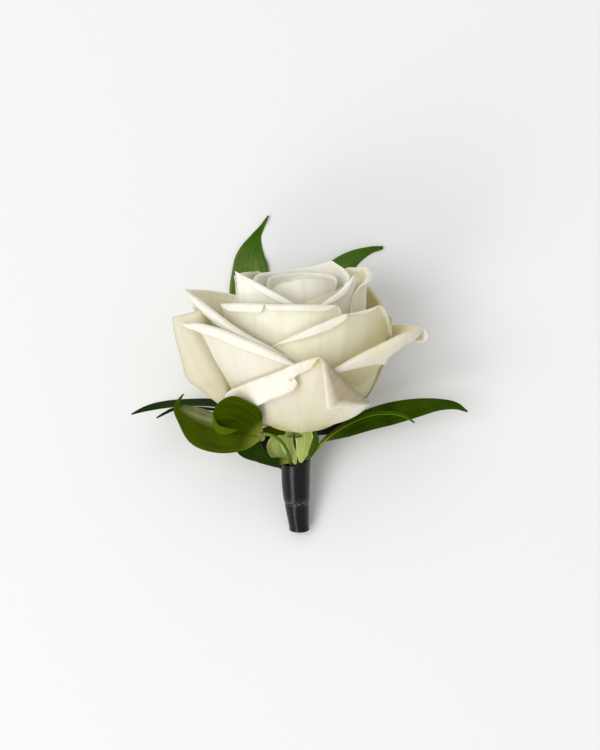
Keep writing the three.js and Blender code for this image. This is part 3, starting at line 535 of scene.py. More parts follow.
# Leaf colours: dark, light and underside, then the roughness and the gloss
LEAF_COLOURS = {
    "leaf": [(0.016, 0.04, 0.001), (0.066, 0.122, 0.006), (0.07, 0.11, 0.01), 0.36, 0.04],
    "leaf_top": [(0.02, 0.07, 0.0006), (0.07, 0.165, 0.002), (0.07, 0.12, 0.01), 0.36, 0.04],
    "leaf_right": [(0.01, 0.028, 0.0006), (0.055, 0.105, 0.003), (0.06, 0.1, 0.008), 0.4, 0.02],
    "leaf_narrow": [(0.03, 0.07, 0.002), (0.1, 0.18, 0.008), (0.1, 0.17, 0.01), 0.5, 0.0],
    "leaf_shaded": [(0.008, 0.022, 0.0008), (0.022, 0.048, 0.002), (0.07, 0.1, 0.01), 0.7, 0.02],
    "leaf_bright": [(0.02, 0.036, 0.0004), (0.054, 0.084, 0.001), (0.07, 0.11, 0.003), 0.4, 0.0],
    "leaf_ridged": [(0.028, 0.044, 0.0006), (0.066, 0.096, 0.0015), (0.11, 0.17, 0.006), 0.3, 0.02],
    "sepal": [(0.24, 0.3, 0.06), (0.44, 0.5, 0.17), (0.4, 0.44, 0.16), 0.5, 0.1],
    "bract": [(0.14, 0.14, 0.035), (0.34, 0.34, 0.12), (0.3, 0.3, 0.1), 0.6, 0.1],
}
# The top leaves and the ridged leaf have a painted reflection, a pale sheen on the blade
LEAF_EXTRAS = {
    "leaf_top": dict(painted_sheen=0.14, sheen_from=-1.5, sheen_to=0.8),
    "leaf_right": dict(pale_base=0.15),
    "leaf_ridged": dict(painted_sheen=1.0, sheen_from=-0.05),
    "sepal": dict(pale_margin=0.7),
}
LEAF_LOOKS = {
    name: leaf_material(name, *colours, **LEAF_EXTRAS.get(name, {})) for name, colours in LEAF_COLOURS.items()
}
TWIG_LOOK = stem_material("twig", (0.035, 0.08, 0.004), (0.12, 0.2, 0.015), (0.2, 0.28, 0.03))
STEM_LOOK = stem_material("rose_stem_green", (0.05, 0.09, 0.02), (0.14, 0.2, 0.05), (0.2, 0.26, 0.08))
SATIN_LOOK = satin_material("black_satin", (0.0008, 0.0008, 0.0009), (0.0045, 0.0045, 0.005), frayed=True)
TAIL_LOOK = satin_material("black_satin_tail", (0.005, 0.0045, 0.007), (0.01, 0.009, 0.014))

# Petals
#
# Each petal grows from the hip, swells to its belly and ends at a fold line. The margin beyond the fold
# rolls outwards and down again. A petal is: name, look, azimuth, radius of its belly, radius of its roll and
# how far it rolls. A rim row is: azimuth, radius, height and width of the rolled margin.


def new_petal(name, look, azimuth, belly, roll, turn, rim, **course):
    return dict(name=name, look=look, azimuth=azimuth, belly=belly, roll=roll, turn=turn, rim=rim, **course)


PETALS = [
    new_petal("front_low", "low", 0, 25, 0.8, 172, keel=3, rim=[
        (-62, 21.5, 8.6, 0.3), (-54, 25.4, 14, 3.5), (-37, 26.5, 18.4, 8.2), (-18, 27.5, 22.6, 8.7),
        (-8, 28.2, 25, 8.2), (-5, 28.5, 25.9, 5.2), (4, 29.8, 27.8, 4.2), (9.6, 31, 29, 1.6),
        (9.6, 31, 29, 1.6), (14, 30.2, 26.8, 4.2), (22, 29, 22.6, 8.2), (27.8, 28.5, 19.6, 11.2),
        (27.8, 28.5, 19.6, 11.2), (34, 28, 17, 7.2), (45, 26.5, 13.2, 3), (55, 24, 10.4, 0.3)]),
    new_petal("left_front", "outer", -32, 25, 1.2, 178, keel=3, start=1.6, rim=[
        (-61, 24, 12, 0.3), (-61, 26, 22, 0.8), (-60.5, 27.4, 28.6, 0.8), (-66.5, 36, 34.4, 1.4),
        (-62.5, 34.6, 35.2, 3.4), (-58.2, 32.5, 35.4, 4.8), (-43.3, 29.5, 33.9, 5.4), (-24.3, 28, 31, 5),
        (-9.2, 27, 27.3, 3.6), (3, 26, 23, 1)]),
    new_petal("left_back", "outer", -100, 25, 1.2, 120, rim=[
        (-134, 24, 20, 0.4), (-126, 26.5, 29, 1.2), (-105, 29.5, 33.5, 1.6), (-86, 30.4, 35.6, 1.2),
        (-72, 28, 30, 0.6), (-68, 24, 18, 0.3)]),
    new_petal("upper_left", "outer", -75, 24, 1.1, 175, keel=3, start=2.2, rim=[
        (-134, 22.5, 30, 0.4), (-127.6, 23.5, 36.6, 0.5), (-113.5, 28, 39.2, 0.6), (-92, 31.8, 41.8, 0.7),
        (-76, 34.3, 43.9, 0.9), (-71.6, 34, 43.8, 1.8), (-68, 31, 41.4, 3.6), (-54.2, 28, 37.6, 5),
        (-36.2, 26, 33.3, 4.6), (-16.8, 25, 29.2, 3.2), (-4, 24, 25, 0.8)]),
    new_petal("wide_front", "wide", -15, 21, 0.9, 172, keel=3, start=2.4, rim=[
        (-66, 23.4, 34, 0.3), (-63.6, 25, 39.4, 0.8), (-55, 24.2, 40.6, 3.8), (-38, 22.8, 41.5, 4.3),
        (-28, 22.5, 41.8, 4), (-25, 22.5, 41.8, 1.4), (-21, 22.5, 42, 3.4), (0, 22.5, 42.2, 3.6),
        (18.7, 22.5, 41.8, 3.4), (27.7, 23, 41, 1.2), (33, 22.5, 35.4, 0.3)]),
    new_petal("right_middle", "middle", 25, 24, 0.9, 170, keel=3, start=2, rim=[
        (-22, 23.6, 28.2, 0.3), (-13.6, 24.3, 31.2, 2.2), (6.6, 25, 35.8, 4), (20, 25.6, 38.2, 4.2),
        (28, 26.2, 39.5, 3), (31, 26.3, 39.6, 1.3), (43.7, 26, 39.6, 2.6), (58.6, 26.6, 40.2, 1.3),
        (58.6, 26.6, 40.2, 1.3), (68.4, 26.3, 35.6, 3.4), (77.5, 26.2, 30, 3.2), (84, 25.6, 22, 0.3)]),
    # Its darker right look is painted shade
    new_petal("right_outer", "right", 62, 25, 1, 160, waist=17, low=16, rim=[
        (16, 26.2, 21, 0.3), (20.7, 27, 23.9, 2.2), (31.1, 28, 26.8, 4.6), (40, 30, 29.3, 7),
        (44, 31.4, 30.5, 9.2), (47, 32.6, 31.4, 7.6), (55, 35.6, 33.6, 5.8), (61, 36.8, 34.1, 4.9),
        (65.5, 37.2, 34.1, 3), (69, 37.2, 33.8, 1.1), (74, 36.2, 33, 1), (84, 33.5, 31.9, 1.2),
        (104, 28.6, 29.6, 1), (118, 25, 22, 0.3)]),
    new_petal("upper_right", "middle", 90, 20, 1.1, 175, rim=[
        (52, 18.6, 37, 0.3), (58, 19, 43.4, 1.2), (75, 19.6, 45.6, 3), (100, 19.8, 46.2, 3.2),
        (111.9, 20.4, 46.9, 1.4), (123, 19.6, 45.8, 3), (137, 19.2, 44.6, 2.6), (150, 19, 38, 0.4)]),
    # Its darker back look is painted shade
    new_petal("right_back", "back", 125, 24, 1.2, 150, rim=[
        (78, 26, 23, 0.3), (82, 27, 31.5, 1), (107.4, 26.6, 33, 1.2), (118.8, 26, 37, 1.4),
        (128.4, 25, 39.6, 1.6), (150, 24, 40, 2.4), (170, 23, 34, 0.4)]),
    new_petal("slanting_right", "inner", 45, 18, 0.7, 165, rim=[
        (12, 16, 36, 0.3), (22.8, 16.5, 41, 2.2), (45.1, 16.8, 44.6, 3), (58.7, 18.5, 48.4, 1),
        (58.7, 18.5, 48.4, 1), (70, 18, 45, 1.2), (84, 17.4, 37, 0.3)]),
    new_petal("round_the_bud", "inner", 150, 15, 1, 110, rim=[
        (74, 14.4, 33, 0.3), (72, 14.4, 40.5, 0.7), (68, 14.2, 44.6, 1.2), (100, 14, 45.6, 1.4),
        (122, 13.8, 47.2, 1), (136.3, 13.6, 48.5, 0.9), (136.3, 13.6, 48.5, 0.9), (166.6, 13.2, 46, 0.9),
        (203.3, 13, 44.6, 0.7), (230, 12.6, 39, 0.3)]),
    new_petal("slanting_left", "inner", -50, 18, 0.7, 172, rim=[
        (-67, 16.6, 36, 0.3), (-66, 17, 44, 0.8), (-60.4, 21.5, 49.8, 0.7), (-60.4, 21.5, 49.8, 0.7),
        (-37.9, 18, 46.4, 3.2), (-9.8, 17, 42, 2.8), (8, 16, 36, 0.3)]),
    new_petal("left_inner", "withered", -95, 19, 1, 150, rim=[
        (-150, 16, 37, 0.3), (-136.5, 16.4, 44, 1), (-124, 17, 45.2, 0.9), (-104, 17.8, 45.8, 1),
        (-86, 19, 46.2, 1), (-74, 19.6, 46, 1), (-66, 19.6, 42, 1), (-60, 19.2, 36, 0.4)]),
    new_petal("bud_left", "inner", -115, 13, 0.9, 130, rim=[
        (-175, 11.6, 39, 0.3), (-160, 12, 44.2, 0.8), (-136.5, 12.5, 45, 1.4), (-100, 12.6, 45.4, 1.2),
        (-71.6, 14, 44.4, 0.9), (-60, 14.4, 38, 0.3)]),
    new_petal("bud_back", "inner", 165, 10, 0.8, 120, rim=[
        (58, 9.6, 36, 0.3), (82, 10.2, 42, 0.8), (104, 10.5, 44.6, 1), (130, 10.4, 45.2, 1),
        (165, 9.6, 45, 1), (214.5, 9.4, 44.8, 0.9), (250, 9.6, 44, 0.8), (278, 10, 37, 0.3)]),
    new_petal("bud_front", "inner", 15, 11, 0.7, 110, rim=[
        (-75, 10.6, 37, 0.3), (-47.5, 9.4, 44.2, 0.7), (-18, 8.4, 46.3, 0.9), (4.2, 8.2, 47.3, 0.9),
        (38, 8.6, 46.9, 0.9), (69, 9.6, 45.6, 0.7), (80, 10.4, 43, 0.5), (90, 11, 37, 0.3)]),
]

# The tight heart of the bud: small petals in a spiral, each wrapping two thirds of the way round. A row of
# their shape is: how far round from the middle, what is added to radius and top, and the margin's width.
HEART_COUNT = 4
HEART_FIRST_AZIMUTH = 40
GOLDEN_TURN = 137.5
HEART_RADIUS = 2.2
HEART_SPACING = 1.45
HEART_TOP = 45.7
HEART_DROP = 0.3
HEART_SHAPE = [(-130, 0.5, -5, 0.3), (-90, 0.35, -1.8, 0.4), (-45, 0.1, -0.4, 0.5), (0, 0, 0, 0.5),
               (45, -0.2, -0.4, 0.5), (90, -0.45, -1.8, 0.4), (130, -0.6, -5, 0.3)]

# Petals round the back, in three layers, kept close because the flower lies on its back. A place is an
# azimuth and how far round the petal reaches. The shape's last number is a share of the layer's margin.
BACK_LAYERS = [
    dict(belly=23, radius=24, top=33, margin=4.6, places=[(-155, 31), (172, 33), (132, 31)]),
    dict(belly=21.5, radius=22.5, top=38, margin=3.8, places=[(-172, 30), (-135, 28)]),
    dict(belly=18.5, radius=19.5, top=42.5, margin=3, places=[(-158, 34), (165, 32)]),
]
BACK_SHAPE = [(-1, -2.6, -14, 0.07), (-0.85, -1.2, -6.5, 0.55), (-0.4, 0, -2.4, 1), (0.06, 1.6, 0, 0.5),
              (0.06, 1.6, 0, 0.5), (0.4, 0, -2.2, 1), (0.85, -1.2, -6, 0.55), (1, -2.6, -14, 0.07)]

# Petals inside the bloom, of which only the upper edges show: their radius and top, how far round each
# reaches from its middle, and where each stands
FILLING = [
    dict(radius=21, top=27, half=52, places=[-60, 20, 95]),
    dict(radius=18.6, top=34.5, half=56, places=[-25, 60, -110]),
    dict(radius=15.6, top=39, half=60, places=[10, 120, -95]),
    dict(radius=12.4, top=44, half=64, places=[64, -60, 180]),
]

FILLING_BEND = 0.5
FILLING_MARGIN = 0.4

# The petal out to the left is folded along a ridge. Its rows, from the top to the hip, give its outer edge,
# the ridge and its inner edge as points.
FOLDED_PETAL = [
    [(-37.8, 35.4, 6), (-32.8, 38.2, 13), (-26.5, 40, 13)],
    [(-36.9, 30.4, 8), (-31.5, 32.5, 16.5), (-23, 30.8, 9.5)],
    [(-35.2, 23.9, 9), (-28.1, 25.6, 16), (-22.8, 23.9, 9)],
    [(-33.4, 17.7, 10), (-24.6, 19.2, 15), (-21, 17, 8.4)],
    [(-29, 14.2, 11), (-22.4, 15.2, 13.5), (-20.4, 13.4, 9.4)],
    [(-24.8, 11, 11.5), (-21.9, 11, 12), (-20.4, 9.9, 10)],
    [(-19, 6, 9.5), (-17.5, 5.8, 9.5), (-16, 5.4, 8.5)],
    [(-10.5, 2, 5.5), (-9.8, 1.9, 5.2), (-9, 1.8, 4.8)],
    [(-2.6, 0.2, 1.6), (-2.4, 0.2, 1.2), (-2.2, 0.2, 0.8)],
]

# The curled lip at the end of the right petal. Its rows run round it, from the upper end to the lower left,
# and give its near edge, its middle and its far edge as points.
CURLED_LIP = [
    [(35.2, 34.5, 15.8), (35.1, 33.9, 14.2), (34.6, 33.1, 12.4)],
    [(36.8, 33.2, 15.8), (36.3, 32.7, 14.2), (35, 32.4, 12.4)],
    [(37.1, 31.4, 15.8), (36.5, 31.4, 14.2), (35, 31.9, 12.4)],
    [(36, 30.3, 15.8), (35.7, 30.7, 14.2), (34.7, 31.5, 12.4)],
    [(34.2, 30.5, 15.8), (34.1, 30.8, 14.2), (33.7, 31.5, 12.4)],
    [(32, 31.4, 15.8), (32.2, 31.5, 14.2), (32.6, 31.7, 12.4)],
]

PETAL_BASE_RADIUS = 2.4
BLOOM_FLOOR = -0.2

# The closed petals at the heart of the bud, as one body: each row its radius and height
CORE_ROWS = [
    (0.4, BLOOM_FLOOR), (3.4, BLOOM_FLOOR), (8.6, 1.2), (13.6, 4), (17.2, 8), (18, 13), (17.2, 21),
    (14.6, 29), (10.4, 35), (6.4, 39), (0.4, 40),
]
CORE_STEPS = 4
CORE_SIDES = 72
CORE_TOP = 40
CORE_PETAL_SPAN = 72
CORE_LEAN = 4
CORE_OVERLAP = 0.045
CORE_GRAIN = 3

RIM_STEPS = 7
UP_STEPS = 14
FLAP_STEPS = 10
LEAST_MARGIN = 0.05

# A petal's course from the hip to its fold: it bellies out, then rises. A keel rises sooner at its sides.
FULL_HEIGHT = 20
BELLY_SHARE = 0.56
WAIST_SHARE = 0.96
LOW_SHARE = 0.4
PETAL_START = -0.3
KEEL_AZIMUTH = 2
KEEL_SPAN = 40
KEEL_POWER = 1.3
BODY_WAVE = 0.2
BODY_WAVE_PACE = (3.0, 5.0)

# Its margin: how much it flutters and how unevenly it rolls
MARGIN_FLUTTER = 0.025
FLUTTER_PACE = 0.55
ROLL_VARIATION = 0.05
ROLL_PACE = 0.25
EDGE_LIFT = 0.05

# Where a petal is thin: in a band along its free end, and in one along its sides
EDGE_BAND = 3
SIDE_BAND = 1.5
EDGE_THINNING = 0.55

# The low petal's notch, and how far to its right the painted shade on its flap comes in
NOTCH_AZIMUTH = 9.6
NOTCH_SPAN = 5

FIRST_SEED = 5
SEED_STEP = 11


def all_petals():
    petals = list(PETALS)
    for k in range(HEART_COUNT):
        azimuth = HEART_FIRST_AZIMUTH + GOLDEN_TURN * k
        radius = HEART_RADIUS + HEART_SPACING * k
        top = HEART_TOP - HEART_DROP * k
        rim = [(azimuth + turn, radius + out, top + up, margin) for turn, out, up, margin in HEART_SHAPE]
        petals.append(new_petal(f"heart_{k + 1}", "inner", azimuth, belly=radius + 1.5, roll=0.6, turn=90,
                                rim=rim))
    for number, layer in enumerate(BACK_LAYERS):
        for k, (azimuth, half) in enumerate(layer["places"]):
            rim = [(azimuth + turn * half, layer["radius"] + out, layer["top"] + up, layer["margin"] * share)
                   for turn, out, up, share in BACK_SHAPE]
            petals.append(new_petal(f"back_{number + 1}_{k + 1}", "outer", azimuth, belly=layer["belly"],
                                    roll=1, turn=168, rim=rim))
    for number, layer in enumerate(FILLING):
        for k, azimuth in enumerate(layer["places"]):
            rim = [(azimuth + turn * layer["half"], layer["radius"] + FILLING_BEND * out,
                    layer["top"] + FILLING_BEND * up, FILLING_MARGIN) for turn, out, up, _ in BACK_SHAPE]
            petals.append(new_petal(f"inside_{number + 1}_{k + 1}", "middle", azimuth,
                                    belly=layer["radius"] + 0.6, roll=0.8, turn=90, rim=rim))
    return petals


def petal_body(petal, rim, t, seed):
    """The petal from the hip up to its fold, as rows of points that fan out from its middle."""
    azimuth, radius, top = rim.T[:3, :, None]
    full = np.clip(top / FULL_HEIGHT, 0, 1)
    belly = petal["belly"] * BELLY_SHARE * (0.55 + 0.45 * full)
    waist = petal.get("waist", petal["belly"] * WAIST_SHARE) * (0.72 + 0.28 * full)
    out_to = bezier(PETAL_BASE_RADIUS, belly, waist, radius, t)
    keel = np.minimum(np.abs(azimuth - KEEL_AZIMUTH) / KEEL_SPAN, 1) ** KEEL_POWER
    start = petal.get("start", PETAL_START) + petal.get("keel", 0) * keel
    low = np.minimum(petal.get("low", petal["belly"] * LOW_SHARE), top * 0.5)
    up_to = bezier(0, start, low, top, t)
    fan = 0.5 + 0.5 * (1 - (1 - t) ** 2)
    turned = petal["azimuth"] + (azimuth - petal["azimuth"]) * fan
    wave = ripple(t * BODY_WAVE_PACE[0], np.radians(azimuth) * BODY_WAVE_PACE[1], seed)
    return polar(turned, out_to + BODY_WAVE * wave * t**2, up_to)


def fold_ways(body, azimuth):
    """Along the fold, the way on past it and the way out of the petal's back."""
    edge = body[:, -1]
    bearing = np.radians(azimuth)
    sideways = np.stack([np.cos(bearing), 0 * bearing, -np.sin(bearing)], axis=-1)
    out = unit(np.cross(sideways, unit(edge - body[:, -2])))
    ahead = np.gradient(edge, axis=0)
    padded = np.concatenate([ahead[:1], ahead, ahead[-1:]])
    ahead = unit((padded[:-2] + 2 * padded[1:-1] + padded[2:]) / 4)
    return unit(np.cross(out, ahead)), out


def rolled_margin(petal, body, azimuth, margin, travelled, seed):
    """The margin beyond the fold: it rolls by the petal's turn, and what is left runs on straight."""
    away, out = fold_ways(body, azimuth)
    flutter = ripple(0 * travelled, travelled * FLUTTER_PACE, seed + 100, 5)[:, None]
    margin = margin[:, None] * (1 + MARGIN_FLUTTER * flutter)
    reach = margin * (np.arange(1, FLAP_STEPS + 1) / FLAP_STEPS)
    uneven = ripple(0 * travelled, travelled * ROLL_PACE, seed + 200, 3)[:, None]
    roll = petal["roll"] * (1 + ROLL_VARIATION * uneven)
    most = math.radians(petal["turn"])
    bent = np.minimum(reach / roll, most)
    rest = np.maximum(reach - roll * most, 0)
    forward = roll * np.sin(bent) + rest * np.cos(bent)
    lift = roll * (1 - np.cos(bent)) + rest * np.sin(bent)
    lift = lift + EDGE_LIFT * flutter * (reach / np.maximum(margin, 1.0)) ** 2
    return body[:, -1:] + forward[..., None] * away[:, None] + lift[..., None] * out[:, None], margin


def petal_surface(petal, seed):
    """A petal's points and thickness, and what its colours go by: along it 0 to 1 up to the fold and 1 to 2
    on the margin, across it in millimetres, near its free edge, and right of the low petal's notch."""
    rim = smooth_rows(petal["rim"], RIM_STEPS)
    azimuth = rim[:, 0]
    t = (np.arange(UP_STEPS + 1) / UP_STEPS)[None, :]
    body = petal_body(petal, rim, t, seed)
    steps = np.linalg.norm(np.diff(body[:, -1], axis=0), axis=1)
    travelled = np.concatenate([[0], np.cumsum(steps)])
    margin = np.maximum(rim[:, 3], LEAST_MARGIN)
    rolled, margin = rolled_margin(petal, body, azimuth, margin, travelled, seed)
    grid = np.concatenate([body, rolled], axis=1)
    share = np.concatenate([t[0], 1 + (np.arange(FLAP_STEPS) + 1) / FLAP_STEPS])
    across, along = over_grid(travelled, share)
    from_side = np.minimum(travelled, travelled[-1] - travelled)[:, None] / SIDE_BAND
    from_end = (2 - along) * np.maximum(margin, SIDE_BAND) / EDGE_BAND
    near_edge = np.clip(1 - np.minimum(from_end, from_side), 0, 1)
    thickness = PETAL_THICKNESS * (1 - EDGE_THINNING * near_edge)
    right = np.clip((azimuth[:, None] - NOTCH_AZIMUTH) / NOTCH_SPAN, 0, 1) * np.ones_like(along)
    return grid, thickness, {"along": along, "across": across, "edge": near_edge, "right": right}


def petal_piece(name, grid, thickness, attributes, look):
    blade(f"petal_{name}", grid, thickness, attributes, PETAL_LOOKS[look], "rose_bloom")


def make_bloom():
    """The open petals. The folded one has a margin's colours at its top and a base's at the hip, and painted
    shade on its inner half, which lies in the valley by the petal in front."""
    grid, along, across = curled_surface(FOLDED_PETAL)
    near_edge = np.clip((np.abs(across) - 0.8) / 0.2, 0, 1)
    # Painted shade: the folded petal's inner half takes the darker base colours
    inside = np.clip(across, 0, 1)
    attributes = {"along": 1.25 - 0.8 * along - 0.7 * inside, "across": across * 8, "edge": near_edge}
    petal_piece("folded_left", grid, PETAL_THICKNESS * (1 - 0.5 * near_edge), attributes, "folded")
    grid, along, across = curled_surface(CURLED_LIP)
    attributes = {"along": 1.5 + 0 * along, "across": along * 8, "edge": np.clip(-across, 0, 1)}
    petal_piece("right_lip", grid, PETAL_THICKNESS * (1 - 0.4 * np.abs(across)), attributes, "outer")
    for number, petal in enumerate(all_petals()):
        petal_piece(petal["name"], *petal_surface(petal, SEED_STEP * number + FIRST_SEED), petal["look"])


def make_closed_petals():
    profile = smooth_rows(CORE_ROWS, CORE_STEPS)
    azimuth = 360 * np.arange(CORE_SIDES) / CORE_SIDES
    rings = []
    for radius, height in profile:
        overlap = ((azimuth + CORE_LEAN * height) / CORE_PETAL_SPAN) % 1
        rings.append(polar(azimuth, radius * (1 - CORE_OVERLAP + CORE_OVERLAP * overlap), height))
    along, across = over_grid(profile[:, 1] / CORE_TOP, azimuth / CORE_GRAIN)
    attributes = {"along": along, "across": across, "edge": 0 * along}
    ringed("closed_inner_petals", np.array(rings), attributes, PETAL_LOOKS["middle"], "rose_bloom")


# Leaves
#
# A leaf row is: x, y, z of the midrib, the half widths left and right of it seen from the base, the blade's
# roll about the midrib and the lift of its halves, both in degrees. Left out, the last two are 0.

LEAF_STEPS = 7
CROSS_STEPS = np.linspace(-1, 1, 17)
LEAST_HALF_WIDTH = 0.06
RIDGE_POWER = 0.3
LEAF_WAVES = (7.0, 2.5)


def leaf_surface(rows, seed, waviness):
    path = smooth_rows([(*row, 0, 0)[:7] for row in rows], LEAF_STEPS)
    places = path[:, :3]
    ahead = unit(np.gradient(places, axis=0))
    right = unit(np.cross(ahead, [0.0, 0.0, 1.0]))
    face = np.cross(right, ahead)
    roll = np.radians(path[:, 5])[:, None]
    fold = np.radians(path[:, 6])[:, None]
    rolled_right = right * np.cos(roll) - face * np.sin(roll)
    rolled_face = face * np.cos(roll) + right * np.sin(roll)
    share = np.linspace(0, 1, len(path))[:, None]
    lines = []
    for s in CROSS_STEPS:
        half = path[:, 3] if s < 0 else path[:, 4]
        width = np.maximum(half, LEAST_HALF_WIDTH)[:, None] * abs(s)
        bend = abs(s) ** RIDGE_POWER if s else 0.0
        wave = ripple(share * LEAF_WAVES[0], np.full_like(share, LEAF_WAVES[1] * s), seed)
        sideways = np.sign(s) * width * np.cos(fold)
        upwards = width * np.sin(fold) * bend + waviness * wave * abs(s) ** 1.5
        lines.append(places + rolled_right * sideways + rolled_face * upwards)
    across, along = over_grid(CROSS_STEPS, share)
    return np.stack(lines), along, across


def curled_surface(rows):
    """A leaf or petal whose rows give its lower edge, midrib and upper edge as points."""
    path = smooth_rows([np.ravel(row) for row in rows], LEAF_STEPS)
    lower, midrib, upper = path[:, 0:3], path[:, 3:6], path[:, 6:9]
    lines = [midrib + (upper - lower) / 2 * s + ((upper + lower) / 2 - midrib) * s * s for s in CROSS_STEPS]
    across, along = over_grid(CROSS_STEPS, np.linspace(0, 1, len(path)))
    return np.stack(lines), along, across


def leaf(name, surface, look, node, thickness):
    """A leaf blade, half as thick at its edges as at its midrib."""
    grid, along, across = surface
    thin = thickness * (1 - 0.5 * np.abs(across) ** 3)
    blade(name, grid, thin, {"along": along, "across": across}, LEAF_LOOKS[look], node)


# The round leaf curls like a claw, so its rows give its lower edge, midrib and upper edge as points.
ROUND_LEAF = [
    [(-12.2, -0.2, 6.6), (-11.6, 0.3, 6.8), (-11, 0.9, 7.2)],
    [(-15, 0.4, 9.6), (-13.6, 2.6, 11), (-11.2, 5.6, 16.2)],
    [(-18.2, 0.8, 12.6), (-16.2, 5.6, 15.4), (-11.2, 10.6, 22)],
    [(-20.6, 1.4, 14.8), (-19, 8, 18.4), (-14, 14.2, 25.6)],
    [(-22.4, 2.4, 16.4), (-21.8, 8.8, 19.6), (-18.8, 16.2, 24.6)],
    [(-23.8, 3.2, 17.6), (-24.2, 8.2, 19.4), (-22.8, 14.4, 22.2)],
    [(-24.2, 3.6, 18.8), (-25.4, 6.8, 19.6), (-25.2, 10.6, 20)],
    [(-23.2, 3.6, 20.4), (-24.2, 5.2, 20.6), (-24, 6.8, 20.4)],
    [(-20.8, 4, 21.4), (-21.4, 4.9, 21.4), (-21.4, 5.8, 21.2)],
    [(-18.5, 4.8, 21), (-18.3, 5, 21), (-18.3, 5.2, 21)],
]

# Leaves: name, sprig, look, seed and size of the waves, and rows
BROAD_WAVE = 0.2
LEAF_WAVE = 0.12
SMALL_WAVE = 0.05
LEAVES = [
    ("leaf_top_left", "back", "leaf_top", 21, BROAD_WAVE, [
        (-1, -3.5, -9.5, 0.6, 0.6), (-5, 4, -17.2, 3.2, 3.2, 0, 4), (-10, 16, -24.4, 6.4, 6.4, 0, 4),
        (-14.8, 31, -31.8, 7, 6.8, 0, 5), (-15.5, 41.6, -37, 5.6, 5.6, 0, 7),
        (-15.3, 45.8, -39, 4.2, 4.2, 0, 10), (-13.8, 50.5, -41.2, 1.8, 1.7, 0, 10),
        (-12.2, 53.3, -42.2, 0.85, 0.8, 0, 8), (-9.9, 57.2, -43, 0.15, 0.15)]),
    ("leaf_top_right", "back", "leaf_top", 22, BROAD_WAVE, [
        (1, -3.5, -9.5, 0.6, 0.6), (3, 6, -18.2, 3, 3, 0, 4), (4.6, 20, -26.2, 5.6, 5.6, 0, 4),
        (6.8, 32, -32.2, 5.4, 6.2, 0, 5), (10.8, 40, -36.2, 3.8, 5, 0, 6), (16, 44.4, -38.2, 2.5, 3, 0, 8),
        (21.6, 46.9, -39, 1.2, 1.3, 0, 10), (25.4, 47.7, -39, 0.6, 0.6), (26, 47.8, -39, 0.25, 0.25)]),
    ("leaf_far_left", "back", "leaf_shaded", 23, LEAF_WAVE, [
        (-0.2, -4, -9, 0.5, 0.5, 60), (-10, 0.4, -10, 2.4, 2.4, 80, 4), (-18.5, 3.6, -10, 4.2, 4.2, 88, 4),
        (-27, 5.1, -9, 4.6, 4.6, 90, 4), (-35, 5.4, -8, 4.2, 4.2, 90, 4), (-42.5, 5.1, -6.5, 2.8, 2.8, 84, 4),
        (-47, 4.5, -5, 1.5, 1.5, 76, 2), (-51, 3.4, -3, 0.2, 0.2, 70)]),
    ("leaf_left_narrow", "back", "leaf_shaded", 24, LEAF_WAVE, [
        (-0.2, -4, -9, 0.5, 0.5, 60), (-12, -0.8, -13.6, 1.8, 1.8, 84, 2), (-21.5, 1, -14.6, 2.4, 2.4, 94, 2),
        (-31, 2.4, -14, 2.2, 2.2, 94, 2), (-38, 2.6, -12.5, 1.4, 1.4, 86, 2), (-41, 1.8, -11, 0.8, 0.8, 76),
        (-43.8, 0.5, -9.5, 0.2, 0.2, 60)]),
    ("leaf_front_left", "left", "leaf_ridged", 25, LEAF_WAVE, [
        (-11.6, -1.3, 6.4, 0.7, 0.7, 20, -10), (-16.4, -0.4, 8, 4.6, 3.6, 30, -24),
        (-22.3, 1.6, 9.5, 7.2, 6.4, 33, -33), (-28.8, 4.2, 11, 7.2, 6.6, 33, -33),
        (-33.8, 7.2, 12, 3.6, 4, 33, -26), (-36.3, 9.4, 12.5, 1.2, 1.2, 20, -10),
        (-35.8, 11.6, 12.5, 0.5, 0.5), (-34.4, 13.6, 12, 0.2, 0.2)]),
    ("leaf_round", "left", "leaf_bright", None, None, ROUND_LEAF),
    ("leaf_low_left", "left", "leaf_shaded", 26, LEAF_WAVE, [
        (-3.3, -9.2, 4.4, 0.6, 0.6), (-6.4, -9, 4.7, 1.4, 1, 0, 10), (-9, -8.6, 4.6, 1.6, 0.8, 0, 10),
        (-11.4, -7.8, 4.4, 1.9, 2.4, 0, 8), (-14.8, -6.4, 3.6, 2.6, 5.2, 0, 8),
        (-17.4, -5, 2.8, 2.4, 3.6, 0, 6), (-19.4, -3.2, 2.2, 0.2, 0.2)]),
    ("round_leaf_stalk", "left", "leaf_bright", 29, SMALL_WAVE, [
        (-12.6, 0.4, 7, 0.6, 0.6), (-9.8, 0.6, 6.4, 1.4, 1.5, 0, -14), (-7, 0.2, 5.2, 1.4, 1.4, 0, -14),
        (-4.6, -0.6, 4, 0.5, 0.5)]),
    ("leaf_right", "right", "leaf_right", 27, BROAD_WAVE, [
        (7.4, -4.4, -2.4, 0.6, 0.6), (14.4, -1.8, -4.6, 2.6, 2.4, -30, 6),
        (21.3, 0.6, -5.6, 3.8, 3.2, -38, 8), (28, 2.8, -5.6, 3.8, 3.8, -40, 8), (35, 4.8, -5, 3, 3.4, -40, 8),
        (41.8, 6.1, -4, 1.9, 2.1, -36, 8), (47, 6.1, -3, 1.1, 1.2, -30, 6), (50.6, 4.5, -2, 0.2, 0.2, -20)]),
    ("leaf_right_edge", "right", "leaf_narrow", 28, LEAF_WAVE, [
        (6.2, -4.4, 3, 0.6, 0.6, -80), (10.8, 0, 3.8, 1.5, 1.5, -90), (16, 3.4, 4.8, 2.3, 2.3, -92, 2),
        (21.5, 5.6, 5, 2.6, 2.6, -94, 2), (27.5, 6, 5.2, 2, 2, -92, 2), (31.4, 5.1, 5.6, 1.1, 1.1, -84),
        (34.2, 3.2, 6, 0.2, 0.2, -70)]),
]

